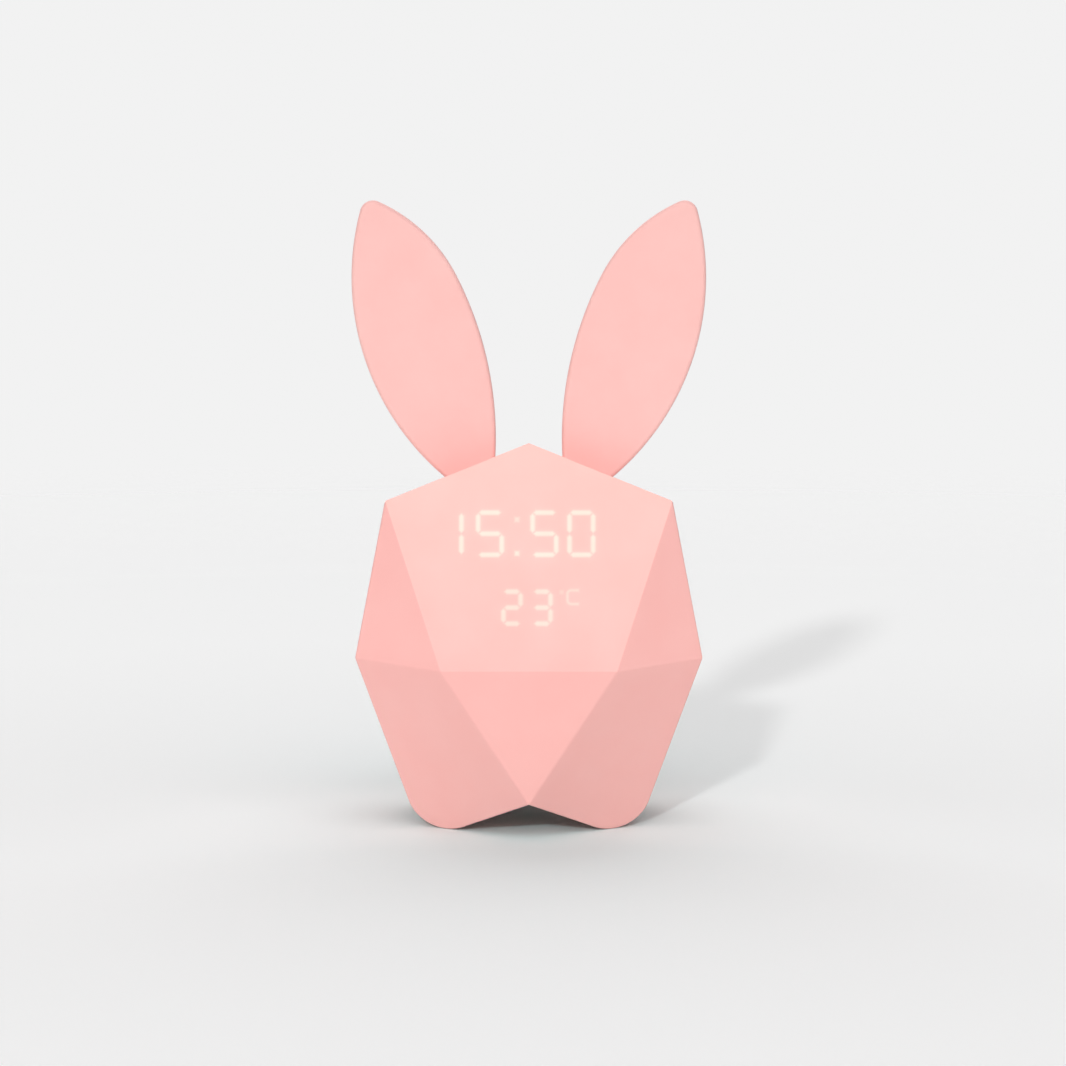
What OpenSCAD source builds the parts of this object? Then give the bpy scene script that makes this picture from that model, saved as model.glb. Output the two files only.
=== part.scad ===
// Bedside alarm clock with night light.
// A faceted two-part plastic body on four rounded legs carries two soft ears.
// A light display shines through the front face; keys, switch and charging
// socket are on the rear face.
// Millimetres. +Z is up, the front faces -Y, and the origin lies on the table
// under the middle of the body.

/* [Body] */
// Width across the two side corners
body_w = 92; // [88:1:98]
// Depth from the front knee edge to the rear knee edge
body_d = 92; // [88:1:98]
// Height of the front and rear knee edges
knee_z = 46.1; // [44:0.5:48]
// Half the length of a knee edge
knee_half = 23.2; // [21:0.5:25]
// Height of the side corners
corner_z = 47.9; // [46:0.5:50]
// Distance of the side corners behind the front knee edge
corner_back = 13; // [11:0.5:15]
// Half the width across the front shoulders
shoulder_half = 37.8; // [36:0.5:39]
// Height of the front shoulders
shoulder_z = 90.3; // [88:0.5:92]
// Height of the front peak
peak_z = 105.3; // [103:0.5:108]
// Backward lean of the front face in degrees
face_lean = 10.6; // [9:0.2:12]
// Fall of the roof towards the rear in degrees
roof_fall = 22.8; // [21:0.2:25]
// Height of the chin where the front legs part
chin_z = 9.7; // [9:0.1:11]
// Distance of the chin behind the front knee edge
chin_back = 5.7; // [4.5:0.1:7]
// Inward slope of the lower side walls in degrees
side_taper = 18.7; // [18:0.1:20]
// Wall thickness of the front and rear faces
wall = 2; // [1.6:0.1:2.4]

/* [Legs] */
// Rounding of a leg seen from the front
leg_round = 10.8; // [9.5:0.1:11.5]
// Rounding of a leg seen from the side
leg_round_side = 5; // [4:0.1:6]
// Distance of the leg soles behind the front knee edge
sole_back = 27.2; // [26:0.2:29]
// Height of the arch between front and rear legs
arch_z = 9.7; // [9:0.1:11]
// Diameter of a rubber foot pad
pad_d = 5; // [4:0.5:6]
// Thickness of a rubber foot pad
pad_t = 1.2; // [1:0.1:1.4]

/* [Ears] */
// Thickness of an ear
ear_t = 4; // [3:0.5:5]
// Distance of the ear's middle plane behind the front knee edge
ear_back = 22; // [21:0.5:23.5]
// Height of an ear tip
ear_top = 168.5; // [160:0.5:172]
// Radius of the ear's outer edge
ear_outer_r = 69; // [67:0.5:71]
// Radius of the ear's inner edge
ear_inner_r = 94.5; // [92:0.5:97]
// Radius of the ear's crown, between the inner edge and the tip
ear_crown_r = 42.5; // [40:0.5:45]
// Rounding of the ear tip
ear_tip_r = 3.5; // [3:0.1:4.5]
// Play between an ear and its slot in the roof
ear_play = 0.15; // [0.1:0.05:0.3]
// Thickness of the plate that holds the ears from inside
keeper_t = 2; // [1.5:0.1:2.5]

/* [Display] */
// Height of the hour and minute figures
time_h = 12.4; // [10:0.1:13]
// Width of the hour and minute figures
time_w = 7.5; // [6:0.1:8]
// Height of the temperature figures
temp_h = 9.7; // [8:0.1:10.5]
// Width of the temperature figures
temp_w = 5.8; // [5:0.1:6.4]
// Width of a figure's bar
bar_w = 1.3; // [1:0.1:1.5]
// Depth of the reflector block behind the front wall
reflector_t = 4; // [3.5:0.1:5]
// Thickness of the display board
board_t = 1.6; // [1.2:0.1:2]

/* [Rear controls] */
// Diameter of a push key
key_d = 5; // [4.5:0.1:5.4]
// Height of a key above the rear face
key_proud = 0.8; // [0.5:0.1:1.2]
// Travel of a key
key_travel = 0.5; // [0.3:0.05:0.6]
// Spacing of the keys
key_pitch = 10; // [9:0.1:10.6]
// Gap round a key or slider in its opening
key_gap = 0.3; // [0.25:0.05:0.4]
// Travel of the alarm slider
slide_travel = 2; // [1.5:0.1:2.5]
// Width of the charging socket
usb_w = 7.6; // [7:0.1:9]
// Height of the charging socket
usb_h = 2.8; // [2.6:0.1:3.2]

/* [Sound and power] */
// Diameter of the loudspeaker
speaker_d = 20; // [18:0.5:21]
// Battery length
cell_l = 50; // [44:1:52]
// Battery width
cell_w = 32; // [28:1:34]
// Battery thickness
cell_t = 8; // [6:0.5:9]
// Diameter of the screws that close the body
screw_d = 2.6; // [2.2:0.1:3]

/* [Hidden] */
$fn = 48;

half_w = body_w / 2;
half_d = body_d / 2;
// Places that keep their distance from the knee edges when the depth changes
corner_y = half_d - corner_back;
chin_y = half_d - chin_back;
sole_y = half_d - sole_back;
ear_y = half_d - ear_back;
far = 200;
// Depth by which crossing shapes pass each other so that they never just touch
cross_by = 0.03;
// Gap between parts that sit beside each other inside
fit_gap = 0.3;
face_slope = tan(face_lean);
chin_lean = atan(chin_back / (knee_z - chin_z));

pink = [0.98, 0.76, 0.73];
ear_pink = [0.98, 0.75, 0.72];
key_pink = [0.93, 0.67, 0.65];
warm_white = [1, 0.95, 0.86];
white_plastic = [0.93, 0.93, 0.91];
board_green = [0.08, 0.35, 0.2];
dark_plastic = [0.12, 0.12, 0.13];
steel = [0.75, 0.76, 0.78];
silver_foil = [0.78, 0.79, 0.8];
rubber_grey = [0.75, 0.72, 0.7];

// ---- corners of the body ----
// Fall of the roof from its ridge to the sides, set by the shoulder height
peak_y = -half_d + face_slope * (peak_z - knee_z);
shoulder_y = -half_d + face_slope * (shoulder_z - knee_z);
roof_back = tan(roof_fall);
roof_side = (peak_z - shoulder_z - roof_back * (shoulder_y - peak_y)) / shoulder_half;

// Height of a point above the roof planes
function above_roof(p) = p[2] - peak_z + roof_back * (p[1] - peak_y) + roof_side * abs(p[0]);
// Point where the line from a to b goes through the roof
function at_roof(a, b) =
    let (t = above_roof(a) / (above_roof(a) - above_roof(b))) a + t * (b - a);
// Height of the roof above the point x, y
function roof_at(x, y) = peak_z - roof_back * (y - peak_y) - roof_side * abs(x);
function to_rear(p) = [p[0], -p[1], p[2]];
function to_left(p) = [-p[0], p[1], p[2]];

// Bottom plane of the uncut legs, below the table, which the leg profiles cut away
root_z = -12;
knee = [knee_half, -half_d, knee_z];
corner = [half_w, -corner_y, corner_z];
chin = [0, -chin_y, chin_z];
shoulder = [shoulder_half, shoulder_y, shoulder_z];
peak = [0, peak_y, peak_z];
// Plane of the lower front corner face: it holds the knee end, the corner and the chin
leg_n = cross(corner - knee, chin - knee);
leg_c = leg_n * knee;
side_root = half_w - tan(side_taper) * (corner_z - root_z);
function on_leg_face(x) = [x, (leg_c - leg_n[0] * x - leg_n[2] * root_z) / leg_n[1], root_z];

right_corners = [
    shoulder, knee, corner,
    at_roof(to_rear(corner), to_rear(shoulder)),
    at_roof(to_rear(knee), to_rear(shoulder)),
    to_rear(knee), to_rear(corner),
    on_leg_face(side_root), to_rear(on_leg_face(side_root))];
rear_peak = at_roof([0, half_d, knee_z], [0, half_d - face_slope, knee_z + 1]);
middle_corners = [
    peak,
    rear_peak,
    chin, to_rear(chin), on_leg_face(0), to_rear(on_leg_face(0))];
body_points = concat(right_corners, [for (p = right_corners) to_left(p)], middle_corners);

// Names of the corners on the right side; the left side has the same order
N_SIDE = len(right_corners);
SHO = 0; KNE = 1; COR = 2; RCO = 3; RSH = 4; RKN = 5; RLC = 6; LEG = 7; RLE = 8;
PEAK = 2 * N_SIDE; RPK = PEAK + 1; CHIN = PEAK + 2; RCH = PEAK + 3; MID = PEAK + 4; RMI = PEAK + 5;
right_faces = [
    [PEAK, RPK, RSH, RCO, SHO], [SHO, COR, KNE], [SHO, RCO, RLC, COR],
    [RCO, RSH, RKN, RLC], [KNE, COR, LEG, MID, CHIN], [RKN, RCH, RMI, RLE, RLC],
    [COR, RLC, RLE, LEG]];
function other_side(i) = i < N_SIDE ? i + N_SIDE : i;
function turned(f) = [for (i = [len(f) - 1:-1:0]) other_side(f[i])];
body_faces = concat(right_faces, [for (f = right_faces) turned(f)], [
    [PEAK, SHO, KNE, KNE + N_SIDE, SHO + N_SIDE],
    [KNE, CHIN, KNE + N_SIDE],
    [RPK, RSH + N_SIDE, RKN + N_SIDE, RKN, RSH],
    [RKN, RKN + N_SIDE, RCH],
    [MID, LEG, RLE, RMI, RLE + N_SIDE, LEG + N_SIDE]]);

// ---- leg profiles ----
// Point on a circle (centre c, radius r) where the line from a touches it from below
function touch_below(a, c, r) =
    let (d = c - a, l = norm(d), turn = atan2(d[1], d[0]) - asin(r / l))
    a + sqrt(l * l - r * r) * [cos(turn), sin(turn)];

// The pads stand a little further in than the lowest line of the soles
pad_y = sole_y - 1.5;
// Middle of a leg's rounding seen from the front: it rests on the table and touches the side
sole_x = half_w - tan(side_taper) * (corner_z - leg_round)
    - (leg_round - cross_by) / cos(side_taper);

// Outline of the underside: arch from the middle, round sole, then open outwards
// from the point "outer"
module leg_profile(arch, middle, r, outer) {
    inner = touch_below([0, arch], [middle, r], r - cross_by);
    for (side = [0, 1]) mirror([side, 0]) {
        polygon([[0, arch], inner, [middle, r], outer, [far, outer[1]], [far, far], [0, far]]);
        translate([middle, r]) circle(r = r, $fn = 96);
    }
}
// Where the front outline leaves the rounding for the side wall
side_touch = [sole_x, leg_round] + (leg_round - cross_by) * [cos(side_taper), -sin(side_taper)];

// The whole outer form as one solid
module body_solid() {
    intersection() {
        polyhedron(points = body_points, faces = body_faces, convexity = 4);
        translate([0, far, 0]) rotate([90, 0, 0]) linear_extrude(2 * far)
            leg_profile(chin_z, sole_x, leg_round, side_touch);
        translate([-far, 0, 0]) rotate([90, 0, 90]) linear_extrude(2 * far)
            leg_profile(arch_z, sole_y, leg_round_side, [sole_y, root_z]);
    }
}

// Point about which the form is shrunk to make the hollow
mid_z = knee_z + 3.9;
face_gap = cos(face_lean) * half_d - sin(face_lean) * (mid_z - knee_z);

// The outer form moved inwards by "depth" at the front and rear faces
module body_inset(depth) {
    k = 1 - depth / face_gap;
    translate([0, 0, mid_z * (1 - k)]) scale(k) body_solid();
}

// Everything in front of or behind the parting plane
module front_half() { translate([-far, -2 * far, -far]) cube(2 * far); }
module rear_half() { translate([-far, 0, -far]) cube(2 * far); }

// Frames on the front and rear faces: x across, y up the face, z outwards,
// from the middle of the knee edge
module on_front() { translate([0, -half_d, knee_z]) rotate([90 - face_lean, 0, 0]) children(); }
module on_rear() { rotate([0, 0, 180]) on_front() children(); }
// Frame on the rear face below the knee
module on_grille() {
    rotate([0, 0, 180]) translate([0, -half_d, knee_z]) rotate([90 + chin_lean, 0, 0]) children();
}

// The area between a line of points on the right and its mirror image on the left
module both_sides(right) {
    last = len(right) - 1;
    polygon(concat(right, [for (i = [last:-1:0]) [-right[i][0], right[i][1]]]));
}
// A cylinder whose top is at height "top" and that goes down by "h"
module post(d, h, top = 0) { translate([0, 0, top - h]) cylinder(d = d, h = h); }
// A box centred on x and y with its top at height "top"
module slab(size, top = 0) {
    translate([-size[0] / 2, -size[1] / 2, top - size[2]]) cube(size);
}

// ---- screws ----
head_d = 1.9 * screw_d;
// Radial play of a screw in its pilot hole
thread_play = 0.05;

// Pan-head screw: the head's underside is at z = 0 and the point is down
module screw(d, l, socket = 0.5) {
    difference() {
        union() {
            cylinder(d = 1.9 * d, h = 0.65 * d);
            translate([0, 0, -l]) cylinder(d = d, h = l + 0.1);
        }
        for (a = [0, 90]) rotate(a)
            translate([-0.6 * d, -0.14 * d, 0.65 * d - socket]) cube([1.2 * d, 0.28 * d, 1]);
    }
}
// Diameter of the screws that hold the inner parts
small_screw_d = 2;
// Hole for the threaded part of a screw, open at z = 0
module pilot(d, l) { translate([0, 0, -l]) cylinder(d = d + 2 * thread_play, h = l + 0.5); }

// ---- ears ----
// Outermost point of the outer edge and innermost point of the inner edge, seen
// from the tip
outer_edge = [5.8, -20.5];
inner_edge = [-32.3, -62.8];
// Direction from the inner circle's middle to the point where the crown begins
crown_turn = 152.9;
// Middles of the two edge circles and of the crown, which lies in the inner
// circle and just crosses it where it begins
outer_mid = outer_edge - [ear_outer_r, 0];
inner_mid = inner_edge + [ear_inner_r, 0];
crown_mid = inner_mid + (ear_inner_r - ear_crown_r + cross_by) * [cos(crown_turn), sin(crown_turn)];

// The tip circle lies inside the outer circle and the crown and touches both
function circles_meet(a, ra, b, rb) =
    let (d = norm(b - a), u = (b - a) / d, s = (d * d + ra * ra - rb * rb) / (2 * d))
    a + s * u + sqrt(ra * ra - s * s) * [-u[1], u[0]];
ear_top_x = 41.1;
tip_mid = circles_meet(outer_mid, ear_outer_r - ear_tip_r, crown_mid, ear_crown_r - ear_tip_r);
ear_shift = [ear_top_x, ear_top] - tip_mid - [0, ear_tip_r];

// Leaf outline of the right ear, grown outwards by "grow"
module ear_outline(grow = 0) {
    ro = ear_outer_r + grow;
    ri = ear_inner_r + grow;
    rc = ear_crown_r + grow;
    rt = ear_tip_r + grow;
    to = outer_mid + (tip_mid - outer_mid) * ((ro - cross_by) / (ear_outer_r - ear_tip_r));
    tc = crown_mid + (tip_mid - crown_mid) * ((rc - cross_by) / (ear_crown_r - ear_tip_r));
    translate(ear_shift) intersection() {
        translate(outer_mid) circle(r = ro, $fn = 180);
        translate(inner_mid) circle(r = ri, $fn = 180);
        // the crown cuts only what lies above the line to its beginning
        union() {
            translate(inner_mid) rotate(crown_turn) translate([-far, 0]) square([2 * far, far]);
            translate(crown_mid) circle(r = rc, $fn = 180);
        }
        union() {
            polygon([tc, tip_mid, to, to + [30, -10], to + [30, -150], tc + [-60, -150], tc + [-60, -10]]);
            translate(tip_mid) circle(r = rt, $fn = 96);
        }
    }
}
module ear_plate(t, grow = 0) {
    translate([0, -ear_y + t / 2, 0]) rotate([90, 0, 0]) linear_extrude(t) ear_outline(grow);
}

// ---- display ----
// Middles of the figures across the face, and the height of each row's foot
time_x = [-20.8, -10.2, 4.1, 13.8];
temp_x = [-4.4, 3.45];
// The rows keep their distance from the shoulders
face_h = (shoulder_z - knee_z) / cos(face_lean);
time_y = face_h - 14.87;
temp_y = time_y - 18.1;
colon_x = -3.1;
unit_x = 9.8;
film_t = 0.25;
bar_depth = 2.8;
bar_gap = 0.25;
// Play between a bar and its window in the reflector
window_play = 0.02;
// Outline of the display block: it widens up to the row of hours and then goes
// straight up, with a rim round the outermost figure
block_rim = 1.2;
block_foot = temp_y - 3.4;
block_head = time_y + time_h + block_rim;
block_half = time_w / 2 - time_x[0] + block_rim;
block_bend = time_y - block_rim;
block_slope = 0.42;
board_edge = 1;
reflector_front = -(wall + fit_gap + film_t);
reflector_back = reflector_front - reflector_t;
display_back = reflector_back - board_t;
function block_half_at(y) = block_half - block_slope * max(0, block_bend - y);

// Which of the seven bars of a figure are lit, in the order top, upper right,
// lower right, foot, lower left, upper left, middle
function lit_bars(n) = [
    [1, 1, 1, 1, 1, 1, 0], [0, 1, 1, 0, 0, 0, 0], [1, 1, 0, 1, 1, 0, 1], [1, 1, 1, 1, 0, 0, 1],
    [0, 1, 1, 0, 0, 1, 1], [1, 0, 1, 1, 0, 1, 1]][n];

// One bar of length l, pointed at both ends, lying along x
module bar(l, w) {
    polygon([[-l / 2, 0], [-l / 2 + w / 2, w / 2], [l / 2 - w / 2, w / 2],
        [l / 2, 0], [l / 2 - w / 2, -w / 2], [-l / 2 + w / 2, -w / 2]]);
}
// The bars of one figure w wide and h high whose state is "want", grown by "grow"
module figure(w, h, lit, want, grow = 0) {
    reach = w - bar_w;
    rise = (h - bar_w) / 2;
    turn = [0, 90, 90, 0, 90, 90, 0];
    place = [[0, h - bar_w / 2], [reach / 2, h - bar_w / 2 - rise / 2], [reach / 2, bar_w / 2 + rise / 2],
        [0, bar_w / 2], [-reach / 2, bar_w / 2 + rise / 2], [-reach / 2, h - bar_w / 2 - rise / 2],
        [0, h / 2]];
    for (i = [0:6]) if (lit[i] == want) translate(place[i]) rotate(turn[i])
        bar((turn[i] == 0 ? reach : rise) - bar_gap + 2 * grow, bar_w + 2 * grow);
}
time_value = [1, 5, 5, 0];
temp_value = [2, 3];
// The dots between hours and minutes, and the degree and C marks
colon_y = [0.08, 0.8] * time_h + time_y * [1, 1];
unit_size = [3.4, 4.2];
unit_bar = 0.7;
unit_y = temp_y + temp_h - unit_size[1] / 2;
degree_side = 1.2;
degree = [unit_x - degree_side, temp_y + temp_h - unit_bar];
module marks(grow = 0) {
    for (y = colon_y) translate([colon_x, y]) square(bar_w + 2 * grow, center = true);
    translate([unit_x + unit_size[0] / 2, unit_y]) difference() {
        square(unit_size + 2 * grow * [1, 1], center = true);
        translate([unit_bar, 0])
            square(unit_size - 2 * [0, unit_bar + grow], center = true);
    }
    translate(degree) square(degree_side + 2 * grow, center = true);
}
// All bars of the display; want = 1 gives the lit ones, want = 0 the dark ones
module all_bars(want, grow = 0) {
    for (i = [0:3]) translate([time_x[i], time_y])
        figure(time_w, time_h, lit_bars(time_value[i]), want, grow);
    for (i = [0:1]) translate([temp_x[i], temp_y])
        figure(temp_w, temp_h, lit_bars(temp_value[i]), want, grow);
    if (want == 1) marks(grow);
}
// Outline of the display block, wider by "more" on every side
module block_outline(more = 0) {
    right = [for (y = [block_foot - more, block_bend, block_head + more])
        [block_half_at(y) + more, y]];
    both_sides(right);
}
// Posts that carry the display board, beside the block
display_post_d = 4.4;
display_rows = [temp_y + 1, time_y + time_h - 5.5];
function display_post_x(y) = block_half_at(y) + display_post_d / 2 + 0.6;
module at_display_posts() {
    for (side = [-1, 1], y = display_rows) translate([side * display_post_x(y), y]) children();
}
display_screw_l = 5;

// ---- rear controls ----
// The controls and the main board keep their distance from the rear face's top edge
controls_h = 27.8;
controls_y = (rear_peak[2] - knee_z) / cos(face_lean) - controls_h;
module on_controls() { on_rear() translate([0, controls_y, 0]) children(); }
flange_d = key_d + 2;
flange_t = 0.8;
key_stem_l = 0.9;
key_row_y = 14;
key_x = [-1.5, -0.5, 0.5, 1.5] * key_pitch;
low_row_y = 6;
switch_w = 6;
switch_h = 3.5;
plunger_d = 3.4;
plunger_up = 1;
plunger_l = 3;
stem_end = -(wall + fit_gap + flange_t + key_stem_l);
main_top = stem_end - plunger_up - switch_h;
main_back = main_top - board_t;
slider_x = -10;
slider_w = 2.2;
slider_l = 2.4;
slide_body = [9, 4.6, 4.2];
usb_x = 10;
usb_shell = 0.35;
usb_mouth = -0.4;
sound_x = 0;
sound_d = 4.5;
sound_h = 4.8;
sound_hole_d = 1.4;

// Outline of the main board: it narrows at the top under the roof
main_half = [23, 15];
main_rows = [-1, 10, 23];
module main_outline() {
    right = [[main_half[0], main_rows[0]], [main_half[0], main_rows[1]], [main_half[1], main_rows[2]]];
    both_sides(right);
}
main_posts = [[main_half[0] - 3, main_rows[0] + 4], [main_half[1] - 4.8, main_rows[2] - 2.4]];
main_post_d = 4.6;
main_screw_l = 6;
module at_main_posts() {
    for (side = [-1, 1], p = main_posts) translate([side * p[0], p[1]]) children();
}

// ---- loudspeaker ----
// The loudspeaker stays clear of the main board above it and of the knee edge
speaker_y = min(0, controls_y) - 14;
speaker_top = -(wall + 1.5);
speaker_rim_t = 1;
basket_h = 4.4;
basket_back = speaker_top - speaker_rim_t - basket_h;
ring_t = 1.2;
speaker_lugs = speaker_d / 2 + 3.4;
speaker_post_d = 4.2;
grille_d = 1.6;
grille_pitch = 3;
// Distance of two rows of a triangular pattern, as a share of its pitch
row_share = sqrt(3) / 2;
speaker_screw_l = 4;
magnet_d = speaker_d - 9;
magnet_h = 2.4;
module at_speaker() { on_grille() translate([0, speaker_y, 0]) children(); }
module at_speaker_posts() {
    for (side = [-1, 1]) at_speaker() translate([side * speaker_lugs, 4, 0]) children();
}

// ---- battery and light ----
tray_z = 15;
tray_t = 1.6;
tray_rim = 3;
tray_wall = 1.2;
tray_l = cell_l + 2 * (fit_gap + tray_wall);
tray_w = cell_w + 2 * (fit_gap + tray_wall);
tray_post = [cell_l / 2 - 5, cell_w / 2 - 4];
tray_post_d = 5;
// The tray's own posts stand outside its short walls and carry the light board
light_post_d = 4.4;
light_post_y = cell_w / 2 - 6;
light_z = tray_z + tray_t + cell_t + 5;
light_t = 1.2;
light_l = tray_l - 1;
light_half = (light_l + light_post_d + 2) / 2;
light_w = cell_w - 5;
// Spacing of the night light's lamps and their size
lamp_pitch = [0.32 * cell_l, 0.1875 * cell_w];
lamp = [5, 5, 1.6];
tray_screw_l = 5;
module at_tray_posts() {
    for (x = [-1, 1], y = [-1, 1]) translate([x * tray_post[0], y * tray_post[1], 0]) children();
}
module at_light_posts() {
    for (x = [-1, 1], y = [-1, 1])
        translate([x * (tray_l / 2 + light_post_d / 2 - tray_wall), y * light_post_y, 0]) children();
}

// ---- shell screws ----
post_d = 7.4;
upper_screw = [half_w - 12, corner_z + 4.1];
// The lower screws pass beside the ends of the light board
lower_screw = [light_half + post_d / 2 + 0.6, light_z + 3.4];
well_d = head_d + 1.4;
// Thickness of the post's floor under a screw head
post_floor = 3;
shell_screw_l = 10;
module at_shell_screws() {
    for (side = [-1, 1], p = [upper_screw, lower_screw]) translate([side * p[0], 0, p[1]])
        rotate([-90, 0, 0]) children();
}

// ---- ear roots and keeper ----
// Span of an ear root across the clock
root_x = ear_top_x * [1, 1] - [34.1, 14.5];
// The roots and the keeper stand behind the display board and reach behind the ears
root_y = [front_point([0, block_head + board_edge, display_back])[1] + 2 * fit_gap, ear_t / 2 + 3 - ear_y];
root_w = root_y[1] - root_y[0];
// Play between an ear root and the roof above it
root_play = 0.08;
keeper_post_d = 7;
keeper_stop_d = 5;
keeper_screw_l = 8;
// The stops stand beside the roots, and the keeper reaches under them
keeper_half = root_x[1] + keeper_stop_d + 0.4;
// Height of the keeper plate's upper face: its rear corners pass under the roof
keeper_z = roof_at(keeper_half, root_y[1]) - 1.9;

// ---- wires ----
wire_d = 1.1;
wire_gap = 1.5;
// Ring of n points of radius r round p, square to direction d
function ring(p, d, r, n) =
    let (u = d / norm(d), a = cross(u, [1, 0.013, 0]), e = a / norm(a), f = cross(u, e))
    [for (i = [0:n - 1]) p + r * (cos(360 * i / n) * e - sin(360 * i / n) * f)];
// Round wire along a list of points
module wire(path, d = wire_d, n = 8) {
    last = len(path) - 1;
    rings = [for (i = [0:last])
        ring(path[i], path[min(i + 1, last)] - path[max(i - 1, 0)], d / 2, n)];
    points = [for (r = rings, p = r) p];
    sides = [for (i = [0:last - 1], j = [0:n - 1])
        [i * n + j, i * n + (j + 1) % n, (i + 1) * n + (j + 1) % n, (i + 1) * n + j]];
    polyhedron(points = points, convexity = 6, faces = concat(sides,
        [[for (j = [n - 1:-1:0]) j]], [[for (j = [0:n - 1]) last * n + j]]));
}
// Smooth curve through three legs: from a along da, to b along db
function curve(a, da, b, db, steps) = [for (i = [0:steps])
    let (t = i / steps, s = 1 - t)
    s * s * s * a + 3 * s * s * t * (a + da) + 3 * s * t * t * (b + db) + t * t * t * b];
// Point of the front, controls or grille frame in the clock's frame
function front_point(p) = [p[0],
    -half_d + p[1] * sin(face_lean) - p[2] * cos(face_lean),
    knee_z + p[1] * cos(face_lean) + p[2] * sin(face_lean)];
function rear_point(p) = let (q = front_point(p + [0, controls_y, 0])) [-q[0], -q[1], q[2]];
function grille_point(p) = [-p[0],
    half_d + p[1] * sin(chin_lean) + p[2] * cos(chin_lean),
    knee_z + p[1] * cos(chin_lean) - p[2] * sin(chin_lean)];
plug_h = 3;
plug_d = 4;
plug_w = [12, 5.2, 4.2, 4.2];
plug_x = [0, 12, -9, -14.4];
plug_y = [12, 3, 3, 3];
ribbon_w = 10;
ribbon_t = 0.4;
// Gap between a cable's end and what it is joined to
end_gap = 0.12;

// ================= modules of the sub-parts =================

module front_shell() color(pink) difference() {
    union() {
        intersection() {
            difference() {
                body_solid();
                body_inset(wall);
            }
            front_half();
        }
        // posts, rooted half-way into the wall
        intersection() {
            body_inset(wall / 2);
            union() {
                at_shell_screws() translate([0, 0, -half_d]) cylinder(d = post_d, h = half_d);
                on_front() at_display_posts() translate([0, 0, reflector_back])
                    cylinder(d = display_post_d, h = wall + reflector_t + 1);
                translate([0, -ear_y, keeper_z]) cylinder(d = keeper_post_d, h = peak_z - keeper_z);
                for (side = [-1, 1])
                    translate([side * (keeper_half - keeper_stop_d / 2), -ear_y, keeper_z])
                        cylinder(d = keeper_stop_d, h = peak_z - keeper_z);
                for (side = [-1, 1]) translate([side * tray_post[0], -tray_post[1], 0])
                    cylinder(d = tray_post_d, h = tray_z);
            }
        }
    }
    at_shell_screws() rotate([180, 0, 0]) translate([0, 0, shell_screw_l])
        pilot(screw_d, shell_screw_l);
    on_front() at_display_posts() translate([0, 0, reflector_back]) rotate([180, 0, 0])
        pilot(small_screw_d, display_screw_l - board_t + 0.4);
    translate([0, -ear_y, keeper_z]) rotate([180, 0, 0]) pilot(small_screw_d, keeper_screw_l);
    for (side = [-1, 1]) translate([side * tray_post[0], -tray_post[1], tray_z])
        pilot(small_screw_d, tray_screw_l);
    // slots for the ears and recesses for the foot pads
    for (side = [0, 1]) mirror([side, 0, 0]) intersection() {
        ear_plate(ear_t + 2 * ear_play, ear_play);
        translate([0, -far, keeper_z + 1]) cube(far);
    }
    pad_recesses();
}

module rear_shell() color(pink) difference() {
    union() {
        intersection() {
            difference() {
                body_solid();
                body_inset(wall);
            }
            rear_half();
        }
        intersection() {
            body_inset(wall / 2);
            union() {
                at_shell_screws() cylinder(d = post_d + 1, h = half_d);
                on_controls() at_main_posts() translate([0, 0, main_top])
                    cylinder(d = main_post_d, h = -main_top);
                at_speaker() translate([0, 0, speaker_top]) difference() {
                    cylinder(d = speaker_d + 1, h = -speaker_top);
                    translate([0, 0, -1]) cylinder(d = speaker_d - 2.4, h = far);
                }
                at_speaker_posts() translate([0, 0, speaker_top - speaker_rim_t])
                    cylinder(d = speaker_post_d, h = -speaker_top + speaker_rim_t);
                for (side = [-1, 1]) translate([side * tray_post[0], tray_post[1], 0])
                    cylinder(d = tray_post_d, h = tray_z);
            }
        }
        roof_hooks();
    }
    at_shell_screws() {
        translate([0, 0, post_floor]) cylinder(d = well_d, h = half_d);
        translate([0, 0, -1]) cylinder(d = screw_d + 2 * thread_play, h = half_d);
    }
    on_controls() {
        for (x = key_x) translate([x, key_row_y, -wall - 1]) cylinder(d = key_d + 2 * key_gap, h = wall + 2);
        translate([slider_x, low_row_y, 1])
            slab([slider_l + slide_travel + 2 * key_gap, slider_w + 2 * key_gap, wall + 2]);
        translate([usb_x, low_row_y, 1])
            slab([usb_w + 2 * key_gap, usb_h + 2 * key_gap, wall + 2]);
        translate([sound_x, low_row_y, -wall - 1]) cylinder(d = sound_hole_d, h = wall + 2);
        at_main_posts() translate([0, 0, main_top]) rotate([180, 0, 0])
            pilot(small_screw_d, main_screw_l - board_t);
    }
    at_speaker() translate([0, 0, -wall - 1]) for (i = [-2:2], j = [-2:2])
        if (norm([i + j / 2, j * row_share]) < 2.4) translate([i + j / 2, j * row_share] * grille_pitch)
            cylinder(d = grille_d, h = wall + 2, $fn = 24);
    at_speaker_posts() translate([0, 0, speaker_top - speaker_rim_t]) rotate([180, 0, 0])
        pilot(small_screw_d, speaker_screw_l - ring_t);
    for (side = [-1, 1]) translate([side * tray_post[0], tray_post[1], tray_z])
        pilot(small_screw_d, tray_screw_l);
    pad_recesses();
}

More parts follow.
